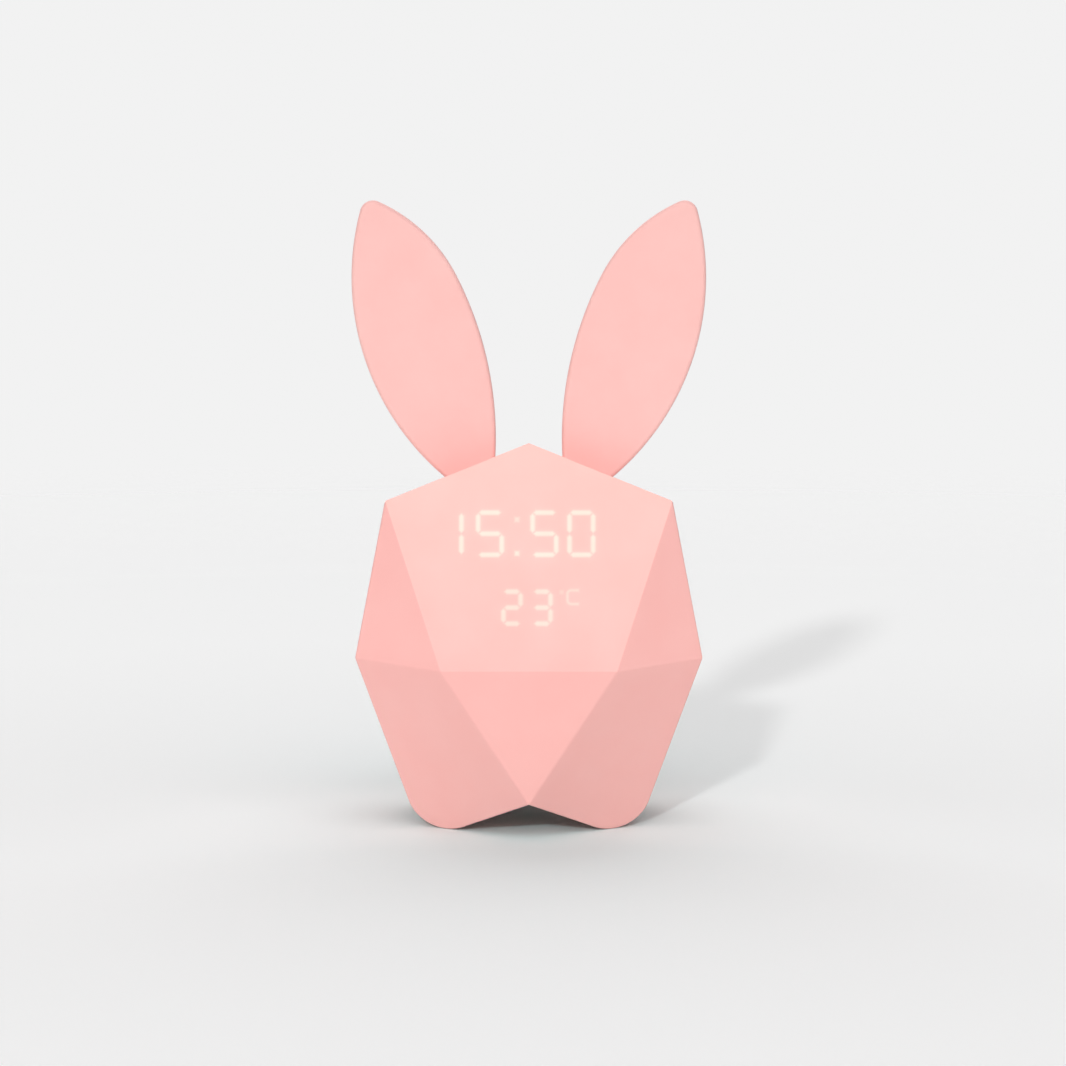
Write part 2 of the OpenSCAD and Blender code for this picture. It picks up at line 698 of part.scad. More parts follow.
// Two hooks of the rear shell that reach under the front shell's roof
module roof_hooks() {
    hook_w = 8;
    hook_x = 16;
    hook_reach = 5;
    for (side = [-1, 1]) {
        intersection() {
            difference() {
                body_inset(wall + fit_gap);
                body_inset(wall + fit_gap + 1.6);
            }
            translate([side * hook_x - hook_w / 2, -hook_reach, mid_z]) cube([hook_w, 2 * hook_reach, far]);
        }
        intersection() {
            difference() {
                body_inset(wall / 2);
                body_inset(wall + fit_gap + 0.8);
            }
            translate([side * hook_x - hook_w / 2, 0.3, mid_z]) cube([hook_w, hook_reach - 0.6, far]);
        }
    }
}

module at_pads() {
    for (x = [-1, 1], y = [-1, 1]) translate([x * sole_x, y * pad_y, 0]) children();
}
module pad_recesses() {
    at_pads() translate([0, 0, -1]) cylinder(d = pad_d + 0.1, h = 1 + pad_t);
}
module foot_pads() color(rubber_grey) at_pads() cylinder(d = pad_d, h = pad_t);

module shell_screws() color(steel) at_shell_screws() translate([0, 0, post_floor])
    screw(screw_d, shell_screw_l + post_floor - 1);

module ear(side) mirror([side, 0, 0]) {
    intersection() {
        ear_plate(ear_t);
        translate([0, -far, keeper_z]) cube(2 * far);
    }
    // root that fills the space between roof and keeper
    intersection() {
        body_inset(wall + root_play);
        translate([root_x[0], root_y[0], keeper_z])
            cube([root_x[1] - root_x[0], root_w, peak_z - keeper_z]);
    }
}
module ear_left() color(ear_pink) ear(1);
module ear_right() color(ear_pink) ear(0);

module ear_keeper() color(white_plastic) difference() {
    translate([0, root_y[0] + root_w / 2, keeper_z - keeper_t]) intersection() {
        slab([2 * keeper_half, root_w, keeper_t], keeper_t);
        translate([0, 0, -1]) cylinder(r = keeper_half, h = keeper_t + 2);
    }
    translate([0, -ear_y, 0]) cylinder(d = small_screw_d + 0.1, h = far);
}
module ear_keeper_screw() color(steel) translate([0, -ear_y, keeper_z - keeper_t])
    rotate([180, 0, 0]) screw(small_screw_d, keeper_screw_l);

module display_diffuser() color([1, 1, 1, 0.6]) on_front() translate([0, 0, reflector_front])
    linear_extrude(film_t) block_outline();
module display_reflector() color(white_plastic) on_front() translate([0, 0, reflector_back])
    difference() {
        linear_extrude(reflector_t) block_outline();
        translate([0, 0, -1]) linear_extrude(reflector_t + 2) {
            all_bars(1, window_play);
            all_bars(0, window_play);
        }
    }
module display_bars_lit() color(warm_white) on_front()
    translate([0, 0, reflector_front - bar_depth]) linear_extrude(bar_depth) all_bars(1);
module display_bars_dark() color(white_plastic) on_front()
    translate([0, 0, reflector_front - bar_depth]) linear_extrude(bar_depth) all_bars(0);

// One small light under the middle of every bar
led_size = [0.6, 0.8, reflector_t - bar_depth];
module display_leds() color(warm_white) on_front() {
    for (i = [0:3]) translate([time_x[i], time_y]) bar_leds(time_w, time_h);
    for (i = [0:1]) translate([temp_x[i], temp_y]) bar_leds(temp_w, temp_h);
    for (p = [[colon_x, colon_y[0]], [colon_x, colon_y[1]], degree, [unit_x + unit_bar / 2, unit_y]])
        translate(p) led_chip();
}
module led_chip() { slab(led_size, reflector_back + led_size[2]); }
module bar_leds(w, h) {
    reach = w - bar_w;
    rise = (h - bar_w) / 2;
    for (y = [bar_w / 2, h / 2, h - bar_w / 2]) translate([0, y]) led_chip();
    for (x = [-reach / 2, reach / 2], y = [bar_w / 2 + rise / 2, h - bar_w / 2 - rise / 2])
        translate([x, y]) led_chip();
}

module display_board() color(board_green) on_front() translate([0, 0, display_back]) difference() {
    linear_extrude(board_t) {
        block_outline(board_edge);
        for (y = display_rows) hull() for (side = [-1, 1])
            translate([side * display_post_x(y), y]) circle(d = display_post_d + 0.6);
    }
    at_display_posts() translate([0, 0, -1]) cylinder(d = small_screw_d + 0.1, h = board_t + 2);
}
module display_board_screws() color(steel) on_front() at_display_posts()
    translate([0, 0, display_back]) rotate([180, 0, 0]) screw(small_screw_d, display_screw_l);

display_plug_y = 20;
module display_connector() color(white_plastic) on_front()
    translate([0, display_plug_y, display_back]) slab([plug_w[0], plug_d, plug_h]);

module main_board() color(board_green) on_controls() translate([0, 0, main_back]) difference() {
    linear_extrude(board_t) main_outline();
    at_main_posts() translate([0, 0, -1]) cylinder(d = small_screw_d + 0.1, h = board_t + 2);
}
module main_board_screws() color(steel) on_controls() at_main_posts()
    translate([0, 0, main_back]) rotate([180, 0, 0]) screw(small_screw_d, main_screw_l);
// Controller, sound chip, clock chip, its crystal, coil and charger: place and size
chips = [
    [[-11, 12], [7, 7, 1.4]], [[11.5, 12], [5, 4, 1.5]], [[0, 5.5], [4, 3, 1.2]],
    [[-5, 4.5], [3.2, 1.6, 1]], [[5.5, 4.5], [3, 3, 2]], [[0, 19.5], [6, 2.4, 1.1]]];
module main_chips() color(dark_plastic) on_controls() for (c = chips)
    translate([c[0][0], c[0][1], main_back]) slab(c[1]);
module main_connectors() color(white_plastic) on_controls() for (i = [0:3])
    translate([plug_x[i], plug_y[i], main_back]) slab([plug_w[i], plug_d, plug_h]);

// Flat cable between the two boards, bent in the clock's middle plane
module ribbon_cable() color([0.85, 0.85, 0.83]) {
    a = front_point([0, display_plug_y, display_back - plug_h - end_gap]);
    b = plug_point(0);
    run = [for (p = curve(a, [0, 22, -5], b, [0, -22, -5], 14)) [p[1], p[2]]];
    lift = [0, ribbon_t / 2];
    translate([-ribbon_w / 2, 0, 0]) rotate([90, 0, 90]) linear_extrude(ribbon_w) polygon(concat(
        [for (p = run) p + lift], [for (i = [len(run) - 1:-1:0]) run[i] - lift]));
}

// Push key: cap, flange that stops it behind the wall, and stem to its switch
module key(i) on_controls() translate([key_x[i], key_row_y, 0]) {
    edge = 0.3;
    cap = key_proud + wall + fit_gap;
    post(flange_d, flange_t, -wall - fit_gap);
    post(plunger_d, key_stem_l + 0.1, -wall - fit_gap - flange_t + 0.1);
    translate([0, 0, key_proud - cap]) rotate_extrude() polygon([[0, 0], [key_d / 2, 0],
        [key_d / 2, cap - edge], [key_d / 2 - edge, cap], [0, cap]]);
}
module key_set() color(key_pink) key(3);
module key_up() color(key_pink) key(2);
module key_down() color(key_pink) key(1);
module key_light() color(key_pink) key(0);

module plunger(i) on_controls() translate([key_x[i], key_row_y, 0])
    post(plunger_d - 0.4, plunger_l, stem_end);
module key_set_plunger() color(dark_plastic) plunger(3);
module key_up_plunger() color(dark_plastic) plunger(2);
module key_down_plunger() color(dark_plastic) plunger(1);
module key_light_plunger() color(dark_plastic) plunger(0);
module key_switch_bodies() color(dark_plastic) on_controls() for (x = key_x)
    translate([x, key_row_y, 0]) difference() {
        slab([switch_w, switch_w, switch_h], main_top + switch_h);
        post(plunger_d + 0.2, plunger_l - plunger_up + key_travel + fit_gap,
            main_top + switch_h + cross_by);
    }

// Slide switch: the slider stands at its off end
slider_foot = 1.4;
module alarm_switch_body() color(steel) on_controls() translate([slider_x, low_row_y, 0]) difference() {
    slab(slide_body, main_top + slide_body[2]);
    slab([slider_l + slide_travel + 2 * key_gap, slider_w + 2 * key_gap, slide_body[2] - 1],
        main_top + slide_body[2] + cross_by);
}
module alarm_slider() color(dark_plastic) on_controls()
    translate([slider_x - slide_travel / 2, low_row_y, 0])
        slab([slider_l, slider_w, key_proud - main_top - slider_foot], key_proud);

module usb_socket() color(steel) on_controls() translate([usb_x, low_row_y, 0]) {
    difference() {
        slab([usb_w, usb_h, usb_mouth - main_top], usb_mouth);
        slab([usb_w - 2 * usb_shell, usb_h - 2 * usb_shell, usb_mouth - main_top - 1], usb_mouth + cross_by);
    }
    slab([usb_w - 2.6, 0.6, usb_mouth - main_top - 1.4], usb_mouth - 0.6);
}

module sound_sensor() color(steel) on_controls() translate([sound_x, low_row_y, 0]) difference() {
    post(sound_d, sound_h, main_top + sound_h);
    post(sound_d - 1, 0.4, main_top + sound_h + 0.1);
}
tap_d = 3.8;
module tap_sensor() color(dark_plastic) on_controls()
    translate([10.5, 16.4, main_back - tap_d / 2]) rotate([0, 90, 0])
        cylinder(d = tap_d, h = 8, center = true);
module temperature_sensor() color([0.1, 0.1, 0.12]) on_controls() translate([3, 1.2, main_back]) {
    bead = [2.2, 3.2];
    for (side = [-1, 1]) translate([side, 0, 0]) post(0.6, 2.6);
    translate([0, 0, -bead[1]]) rotate([0, 90, 0]) cylinder(d = bead[0], h = bead[1], center = true);
}

module speaker_basket() color(dark_plastic) at_speaker() translate([0, 0, speaker_top]) difference() {
    union() {
        post(speaker_d, speaker_rim_t);
        post(speaker_d - 3, -basket_back + speaker_top - speaker_rim_t + 0.1, -speaker_rim_t + 0.1);
    }
    post(speaker_d - 5, speaker_top - basket_back - 1, 0.1);
}
module speaker_magnet() color(steel) at_speaker() translate([0, 0, basket_back])
    post(magnet_d, magnet_h);
module speaker_cone() color([0.2, 0.2, 0.22]) at_speaker() translate([0, 0, speaker_top])
    rotate_extrude() polygon([[0, -0.9], [3, -1.3], [speaker_d / 2 - 2.6, -0.3],
        [speaker_d / 2 - 2.6, -0.6], [3, -1.7], [0, -1.3]]);
module speaker_ring() color(white_plastic) at_speaker()
    translate([0, 0, speaker_top - speaker_rim_t - ring_t]) difference() {
        union() {
            cylinder(d = speaker_d + 1, h = ring_t);
            translate([-speaker_lugs - 2.2, 2.2, 0]) cube([2 * speaker_lugs + 4.4, 3.8, ring_t]);
        }
        translate([0, 0, -1]) cylinder(d = speaker_d - 2.4, h = ring_t + 2);
        for (side = [-1, 1]) translate([side * speaker_lugs, 4, -1])
            cylinder(d = small_screw_d + 0.1, h = ring_t + 2);
    }
module speaker_screws() color(steel) at_speaker_posts()
    translate([0, 0, speaker_top - speaker_rim_t - ring_t]) rotate([180, 0, 0])
        screw(small_screw_d, speaker_screw_l);

module battery_cell() color(silver_foil) translate([0, 0, tray_z + tray_t + cell_t])
    slab([cell_l, cell_w, cell_t]);
module battery_tray() color(white_plastic) difference() {
    union() {
        translate([0, 0, tray_z + tray_t + tray_rim]) slab([tray_l, tray_w, tray_t + tray_rim]);
        at_light_posts() translate([0, 0, tray_z]) cylinder(d = light_post_d, h = light_z - tray_z);
    }
    translate([0, 0, tray_z + tray_t + tray_rim + 1])
        slab([tray_l - 2 * tray_wall, tray_w - 2 * tray_wall, tray_rim + 1]);
    at_tray_posts() translate([0, 0, tray_z - 1]) cylinder(d = small_screw_d + 0.1, h = far);
    at_tray_posts() translate([0, 0, tray_z + tray_t - 1.4]) cylinder(d = 2 * small_screw_d, h = far);
    at_light_posts() translate([0, 0, light_z]) pilot(small_screw_d, 6);
}
module battery_tray_screws() color(steel) at_tray_posts()
    translate([0, 0, tray_z + tray_t - 1.4]) screw(small_screw_d, tray_screw_l - 0.6);
// Foam strap that is stuck over the battery between the tray's long walls
strap_t = 0.6;
strap_w = 14;
module battery_strap() color(dark_plastic) translate([0, 0, tray_z + tray_t + cell_t + strap_t])
    difference() {
        slab([strap_w, tray_w + 2 * strap_t, strap_t + cell_t - 1]);
        translate([0, 0, -strap_t]) slab([strap_w + 2, tray_w, cell_t + 2]);
    }

module light_board() color(white_plastic) difference() {
    translate([0, 0, light_z + light_t])
        slab([2 * light_half, light_w, light_t]);
    at_light_posts() translate([0, 0, light_z - 1]) cylinder(d = small_screw_d + 0.1, h = 4);
}
module light_leds() color([1, 0.93, 0.7]) for (i = [-1:1], j = [-1, 1])
    translate([i * lamp_pitch[0], j * lamp_pitch[1], light_z + light_t + lamp[2]]) difference() {
        slab(lamp);
        translate([0, 0, -0.3]) cylinder(d = lamp[0] - 1.2, h = 1);
    }
module light_board_screws() color(steel) at_light_posts() translate([0, 0, light_z + light_t])
    screw(small_screw_d, 6);

// Pairs of wires: each run goes from a plug on the main board to its part
module wire_pair(a, da, b, db, steps) {
    for (s = [-1, 1]) wire(curve(a + [s * wire_gap / 2, 0, 0], da, b + [s * wire_gap / 2, 0, 0], db, steps));
}
// Start of a lead at plug i, and the way it leaves the plug
function plug_point(i) = rear_point([plug_x[i], plug_y[i], main_back - plug_h - end_gap]);
function plug_way(l) = -l * [0, cos(face_lean), sin(face_lean)];
module speaker_lead() color([0.7, 0.1, 0.1])
    wire_pair(plug_point(2), plug_way(7),
        grille_point([-magnet_d / 2 - wire_gap, speaker_y, basket_back - end_gap]),
        [0, -8 * cos(chin_lean), 8 * sin(chin_lean)], 12);
module battery_lead() color([0.7, 0.1, 0.1])
    wire_pair(plug_point(1), plug_way(12),
        [-tray_post[0], cell_w / 2 + end_gap, tray_z + tray_t + cell_t - 2], [0, 8, 0], 14);
module light_lead() color([0.9, 0.9, 0.88])
    wire_pair(plug_point(3), plug_way(10),
        [tray_post[0], light_w / 2 - 2, light_z + light_t + end_gap], [0, 0, 12], 14);

front_shell();
rear_shell();
foot_pads();
shell_screws();
ear_left();
ear_right();
ear_keeper();
ear_keeper_screw();
display_diffuser();
display_reflector();
display_bars_lit();
display_bars_dark();
display_leds();
display_board();
display_board_screws();
display_connector();
main_board();
main_board_screws();
main_chips();
main_connectors();
ribbon_cable();
key_set();
key_up();
key_down();
key_light();
key_set_plunger();
key_up_plunger();
key_down_plunger();
key_light_plunger();
key_switch_bodies();
alarm_switch_body();
alarm_slider();
usb_socket();
sound_sensor();
tap_sensor();
temperature_sensor();
speaker_basket();
speaker_cone();
speaker_magnet();
speaker_ring();
speaker_screws();
speaker_lead();
battery_cell();
battery_tray();
battery_strap();
battery_tray_screws();
battery_lead();
light_board();
light_leds();
light_board_screws();
light_lead();
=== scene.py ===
# %% [markdown]
# # Bedside alarm clock with night light
# A faceted two-part body on four rounded legs, two soft ears on its roof, and a
# light display that shines through the front wall. The solid model gives every
# piece its place; this script gives the pieces their rounded edges and their
# finishes, and lights them on a pale floor. Everything is in metres, +Z up, with
# the display facing -Y.

from math import atan, cos, pi, radians, sin, sqrt, tan

import bmesh
import bpy
import numpy as np
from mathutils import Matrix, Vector


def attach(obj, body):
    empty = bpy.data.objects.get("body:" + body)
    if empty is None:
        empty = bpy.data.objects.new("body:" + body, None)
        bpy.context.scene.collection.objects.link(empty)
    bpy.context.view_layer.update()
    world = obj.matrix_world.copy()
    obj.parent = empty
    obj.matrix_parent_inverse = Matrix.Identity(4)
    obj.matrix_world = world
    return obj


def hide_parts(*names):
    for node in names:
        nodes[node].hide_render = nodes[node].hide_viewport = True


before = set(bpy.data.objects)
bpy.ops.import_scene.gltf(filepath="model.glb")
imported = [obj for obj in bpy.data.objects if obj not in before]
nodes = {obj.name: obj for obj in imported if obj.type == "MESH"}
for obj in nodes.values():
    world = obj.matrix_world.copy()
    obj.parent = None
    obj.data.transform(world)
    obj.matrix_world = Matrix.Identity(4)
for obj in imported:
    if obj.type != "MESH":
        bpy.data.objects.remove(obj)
bpy.context.view_layer.update()
MM = 0.001

# %% [markdown]
# ## Measures shared with the solid model
# The front and rear faces lean back by the same angle from their knee edges. A
# point on either face is given by x across, y up the face and z outwards, from
# the middle of the knee edge, as a mould maker would dimension it. A piece on a
# leaning face can then be drawn flat and moved into its place in one step.

# %% Face frames
LEAN = radians(10.6)
# Knee edges from the middle, their height and that of the roof's peak, in millimetres
BODY_HALF, KNEE_Z, PEAK_Z = 46.0, 46.1, 105.3
HALF_DEPTH, KNEE_HEIGHT = BODY_HALF * MM, KNEE_Z * MM


def front_frame(points):
    """Points of the front face's frame, in metres, moved into the clock's frame:
    x stays, y runs up the leaning face and z stands square on it, towards -Y."""
    x, y, z = np.asarray(points, float).T
    return np.stack([x, -HALF_DEPTH + y * sin(LEAN) - z * cos(LEAN),
                     KNEE_HEIGHT + y * cos(LEAN) + z * sin(LEAN)], 1)


def rear_frame(points):
    """The same for the rear face: the front frame turned half a turn about Z."""
    return front_frame(points) * [-1, -1, 1]


# %% Roof and control row, in millimetres
SHOULDER_X, SHOULDER_Z = 37.8, 90.3
SHRINK_Z = 50.0
# From the top of the rear face down to the controls, along the face
CONTROLS_DROP = 27.8
ROOF_BACK = tan(radians(22.8))
PEAK_Y = tan(LEAN) * (PEAK_Z - KNEE_Z) - BODY_HALF
SHOULDER_Y = tan(LEAN) * (SHOULDER_Z - KNEE_Z) - BODY_HALF
ROOF_SIDE = (PEAK_Z - SHOULDER_Z - ROOF_BACK * (SHOULDER_Y - PEAK_Y)) / SHOULDER_X
REAR_RISE = (PEAK_Z - KNEE_Z - ROOF_BACK * (BODY_HALF - PEAK_Y)) / (1 - ROOF_BACK * tan(LEAN))
CONTROLS_Y = REAR_RISE / cos(LEAN) - CONTROLS_DROP


def roof_height(x, y, depth=0.0):
    """Height of the roof plane at x, y, and of the plane inside it that results
    when the form is shrunk about the height SHRINK_Z by depth at its front face."""
    k = 1 - depth / (cos(LEAN) * BODY_HALF - sin(LEAN) * (SHRINK_Z - KNEE_Z))
    return SHRINK_Z * (1 - k) + k * PEAK_Z - ROOF_BACK * (y - k * PEAK_Y) - ROOF_SIDE * abs(x)


print("roof at the middle", round(roof_height(0, 0), 2), "controls at", round(CONTROLS_Y, 3))

# %% [markdown]
# ## Building a finish
# Every finish is a node tree on object coordinates, so one unit is a metre and a
# scale of 5000 gives grains of 0.2 mm. Pictures of a surface would need a map for
# each piece; noise that the shader works out needs none and stays sharp close up.
# The class keeps the trees short to write: each call adds one node and returns its
# output.

# %% Node helper
class Finish:
    """A material whose node tree is written as a row of short calls."""

    def __init__(self, name):
        self.material = bpy.data.materials.new(name)
        self.material.use_nodes = True
        self.tree = self.material.node_tree
        self.shader = self.tree.nodes["Principled BSDF"]
        self.place = self.node("ShaderNodeTexCoord").outputs["Object"]

    def node(self, kind, inputs=None, **settings):
        made = self.tree.nodes.new(kind)
        for key, value in settings.items():
            setattr(made, key, value)
        for key, value in (inputs or {}).items():
            self.plug(made.inputs[key], value)
        return made

    def plug(self, socket, value):
        if isinstance(value, bpy.types.NodeSocket):
            self.tree.links.new(value, socket)
        else:
            socket.default_value = value

    def noise(self, scale, detail=3.0, roughness=0.6, place=None):
        """Cloudy noise from 0 to 1, with features about 1/scale metres across."""
        return self.node("ShaderNodeTexNoise", {
            "Vector": place or self.place, "Scale": scale, "Detail": detail,
            "Roughness": roughness}).outputs["Fac"]

    def cells(self, scale):
        """Distance inside cells about 1/scale metres across."""
        return self.node("ShaderNodeTexVoronoi", {
            "Vector": self.place, "Scale": scale}).outputs["Distance"]

    def bands(self, scale, axis):
        """Waves from 0 to 1 along an axis, pi / (10 scale) metres apart."""
        return self.node("ShaderNodeTexWave", {
            "Vector": self.place, "Scale": scale}, bands_direction=axis).outputs["Fac"]

    def stored(self, name):
        """The attribute of that name on the mesh."""
        return self.node("ShaderNodeAttribute", attribute_name=name).outputs["Fac"]

    def length(self, vector):
        return self.node("ShaderNodeVectorMath", {0: vector}, operation="LENGTH").outputs["Value"]

    def stretch(self, sizes, turn=(0, 0, 0)):
        """Object coordinates turned and then scaled by sizes."""
        return self.node("ShaderNodeMapping", {
            "Vector": self.place, "Scale": sizes, "Rotation": turn}).outputs["Vector"]

    def spread(self, value, low, high, source=(0.3, 0.7)):
        """Maps a value from the source range to the range low to high."""
        return self.node("ShaderNodeMapRange", {
            "Value": value, "From Min": source[0], "From Max": source[1],
            "To Min": low, "To Max": high}).outputs["Result"]

    def between(self, share, first, second):
        """Colour between two colours, by share."""
        made = self.node("ShaderNodeMix", {"Factor": share}, data_type="RGBA")
        for socket, colour in ((6, first), (7, second)):
            self.plug(made.inputs[socket], (*colour, 1) if isinstance(colour, tuple) else colour)
        return made.outputs[2]

    def calc(self, operation, *values):
        """One step of arithmetic with values or outputs."""
        return self.node("ShaderNodeMath", dict(enumerate(values)), operation=operation).outputs[0]

    def relief(self, height, depth, strength=1.0, under=None):
        """Normal of a relief whose full height is depth metres."""
        inputs = {"Height": height, "Distance": depth, "Strength": strength}
        if under is not None:
            inputs["Normal"] = under
        return self.node("ShaderNodeBump", inputs).outputs["Normal"]

    def set(self, **inputs):
        """Plugs values or outputs into the shader; _ stands for a space."""
        for key, value in inputs.items():
            self.plug(self.shader.inputs[key.replace("_", " ")], value)
        return self

    def follow(self, value, first, second, rough, depth, strength, source=(0.3, 0.7), **more):
        """Colour, roughness and a relief of depth millimetres that all follow one
        texture value; more is plugged into the shader as it is."""
        return self.set(Base_Color=self.between(self.spread(value, 0, 1, source), first, second),
                        Roughness=self.spread(value, *rough),
                        Normal=self.relief(value, depth * MM, strength), **more)


def srgb(*levels):
    """A colour given as 0 to 255 display levels, as linear values."""
    share = np.array(levels) / 255
    return tuple(float(v) for v in np.where(share <= 0.04045, share / 12.92,
                                            ((share + 0.055) / 1.055) ** 2.4))


# %% [markdown]
# ## Finishes of the outside
# The body is moulded in pink ABS with a fine spark-eroded grain, the ears are
# cast silicone, duller and softer, and the keys are satin. The hue drifts by a
# few levels over a centimetre, as in real mouldings, and the grain is 0.2 mm. At
# that size a bump in the shading looks like real relief and costs no faces.

# %% Moulded plastic, silicone and rubber
def moulded(name, pale, deep, rough=0.5, grain=4500, grain_depth=0.012):
    """Moulded plastic: slow drift of hue, fine grain, and a slight sheen that
    changes from place to place."""
    f = Finish(name)
    drift = f.noise(70, 2)
    fine = f.noise(grain, 2, 0.5)
    tint = f.between(f.spread(drift, 0, 1), pale, deep)
    speck = f.between(f.spread(fine, 0, 0.35, (0.35, 0.7)), tint, deep)
    return f.set(Base_Color=speck, Roughness=f.spread(drift, rough - 0.06, rough + 0.06),
                 Normal=f.relief(fine, grain_depth * MM, 0.6), IOR=1.47)


SHELL_PALE = srgb(255, 191, 185)
SHELL_DEEP = srgb(254, 187, 181)
shell_finish = moulded("pink_shell_plastic", SHELL_PALE, SHELL_DEEP, 0.55)

silicone = Finish("ear_silicone")
silicone_cloud = silicone.noise(90, 3)
silicone_dust = silicone.noise(2600, 3, 0.7)
silicone.set(
    Base_Color=silicone.between(silicone.spread(silicone_cloud, 0, 1),
                                srgb(255, 199, 193), srgb(254, 195, 189)),
    Roughness=silicone.spread(silicone_dust, 0.6, 0.74), IOR=1.41,
    Normal=silicone.relief(silicone_dust, 0.01 * MM, 0.5),
    Sheen_Weight=0.12, Sheen_Roughness=0.5)

key_finish = moulded("key_satin_plastic", srgb(238, 170, 164), srgb(230, 160, 154),
                     0.4, 6000, 0.006)
key_tint = key_finish.shader.inputs["Base Color"].links[0].from_socket
key_finish.set(Base_Color=key_finish.between(key_finish.stored("mark"), key_tint,
                                             srgb(196, 118, 112)))
rubber_finish = moulded("foot_rubber", srgb(205, 196, 190), srgb(186, 176, 170), 0.8, 3000, 0.03)
white_finish = moulded("white_plastic", srgb(238, 238, 234), srgb(228, 228, 223), 0.5, 3500)
dark_finish = moulded("dark_plastic", srgb(52, 52, 55), srgb(38, 38, 41), 0.45, 3500)
print("moulded finishes made")

# %% [markdown]
# ## Finishes of the inside
# Pressed and plated metal shows fine drawing marks, a circuit board shows copper
# tracks under its green mask, a pouch cell's foil is faintly creased, and the
# loudspeaker's cone is pressed paper with fibres. None of these marks is drawn by
# hand: a noise that is stretched along the way a piece was worked gives marks and
# fibres, and wave textures that run two ways in patches give tracks.

# %% Metal, boards, foil, film, wire and paper
def plated(name, tint, stretch=(1, 1, 1)):
    """Zinc or nickel plating with fine drawing marks and dull patches."""
    f = Finish(name)
    marks = f.noise(2500, 3, 0.7, f.stretch(stretch))
    patches = f.noise(350, 2)
    dull = tuple(0.82 * v for v in tint)
    return f.set(Base_Color=f.between(f.spread(patches, 0, 1), tint, dull), Metallic=1.0,
                 Roughness=f.spread(marks, 0.22, 0.42), Normal=f.relief(marks, 0.004 * MM, 0.5))


screw_finish = plated("plated_screw_steel", (0.62, 0.63, 0.65), (1, 1, 6))
socket_finish = plated("nickel_socket_shell", (0.7, 0.69, 0.66), (8, 1, 1))


TRACKS = 393.0  # scale at which the bands are 0.8 mm apart


def board_finish(name, mask, track, level):
    """Solder mask over copper: tracks at 0.8 mm pitch run along X in some patches
    and along the axis level in others, and round tinned pads lie among them."""
    f = Finish(name)
    patch = f.node("ShaderNodeTexVoronoi", {"Vector": f.place, "Scale": 130.0},
                   distance="CHEBYCHEV")
    turned = f.calc("GREATER_THAN", patch.outputs["Color"], 0.5)
    lines = f.calc("ADD", f.calc("MULTIPLY", f.bands(TRACKS, "X"), turned),
                   f.calc("MULTIPLY", f.bands(TRACKS, level), f.calc("SUBTRACT", 1.0, turned)))
    on_track = f.spread(lines, 0, 1, (0.6, 0.7))
    on_pad = f.spread(f.cells(260), 1, 0, (0.1, 0.13))
    peel = f.noise(1500, 2)
    tone = f.between(on_pad, f.between(on_track, mask, track), srgb(196, 198, 196))
    return f.set(Base_Color=tone, Roughness=f.spread(peel, 0.22, 0.34), Metallic=on_pad,
                 Normal=f.relief(on_track, 0.03 * MM, 0.7, f.relief(peel, 0.004 * MM, 0.5)))


green_board = board_finish("circuit_board_green", srgb(18, 84, 48), srgb(40, 128, 74), "Z")
white_board = board_finish("circuit_board_white", srgb(238, 239, 236), srgb(222, 224, 220),
                           "Y")

foil = Finish("pouch_cell_foil")
creases = foil.noise(160, 4, 0.6, foil.stretch((1, 2.2, 1)))
foil.follow(creases, srgb(206, 208, 212), srgb(188, 190, 195), (0.26, 0.4), 0.12, 0.5,
            Metallic=0.9)

film = Finish("frosted_film")
film.follow(film.noise(5200, 2), srgb(243, 242, 240), srgb(231, 230, 228), (0.5, 0.7),
            0.006, 0.6, Transmission_Weight=0.5)


def lit_resin(name, tint, strength):
    """Cast resin with scattering grains, lit from inside."""
    f = Finish(name)
    grains = f.noise(3000, 2)
    return f.set(Base_Color=f.between(f.spread(grains, 0, 1),
                                      srgb(255, 244, 222), srgb(246, 232, 205)),
                 Roughness=f.spread(grains, 0.35, 0.5), Emission_Color=(*tint, 1),
                 Emission_Strength=f.spread(grains, 0.8 * strength, 1.2 * strength))


bar_finish = lit_resin("lit_display_resin", (1.0, 0.86, 0.68), 1.0)
chip_light = lit_resin("light_chip_phosphor", (1.0, 0.78, 0.45), 0.6)


def insulation(name, tint):
    """Wire insulation: smooth, with faint drawing lines and rub marks."""
    f = Finish(name)
    worn = tuple(min(1.0, 1.25 * v + 0.01) for v in tint)
    return f.follow(f.noise(900, 3, 0.7), tint, worn, (0.32, 0.5), 0.01, 0.4)


red_wire = insulation("red_wire", srgb(176, 34, 28))
pale_wire = insulation("pale_wire", srgb(226, 224, 218))

ribbon = Finish("ribbon_cable")
conductors = ribbon.bands(160.0, "X")
ribbon.set(Base_Color=ribbon.between(ribbon.spread(conductors, 0, 1, (0.2, 0.8)),
                                     srgb(206, 204, 198), srgb(232, 230, 225)),
           Roughness=ribbon.spread(ribbon.noise(800), 0.4, 0.55),
           Normal=ribbon.relief(conductors, 0.15 * MM, 0.8))

chip_epoxy = moulded("chip_epoxy", srgb(44, 44, 46), srgb(30, 30, 32), 0.6, 9000, 0.01)

paper = Finish("speaker_cone_paper")
fibres = paper.noise(1400, 5, 0.75, paper.stretch((1, 0.25, 1)))
paper.follow(fibres, srgb(108, 105, 102), srgb(74, 72, 71), (0.75, 0.95), 0.06, 0.8)

foam = Finish("strap_foam")
foam.follow(foam.cells(2200), srgb(64, 64, 68), srgb(30, 30, 33), (0.85, 0.95), 0.15, 0.8,
            (0.1, 0.6))
print("inner finishes made")

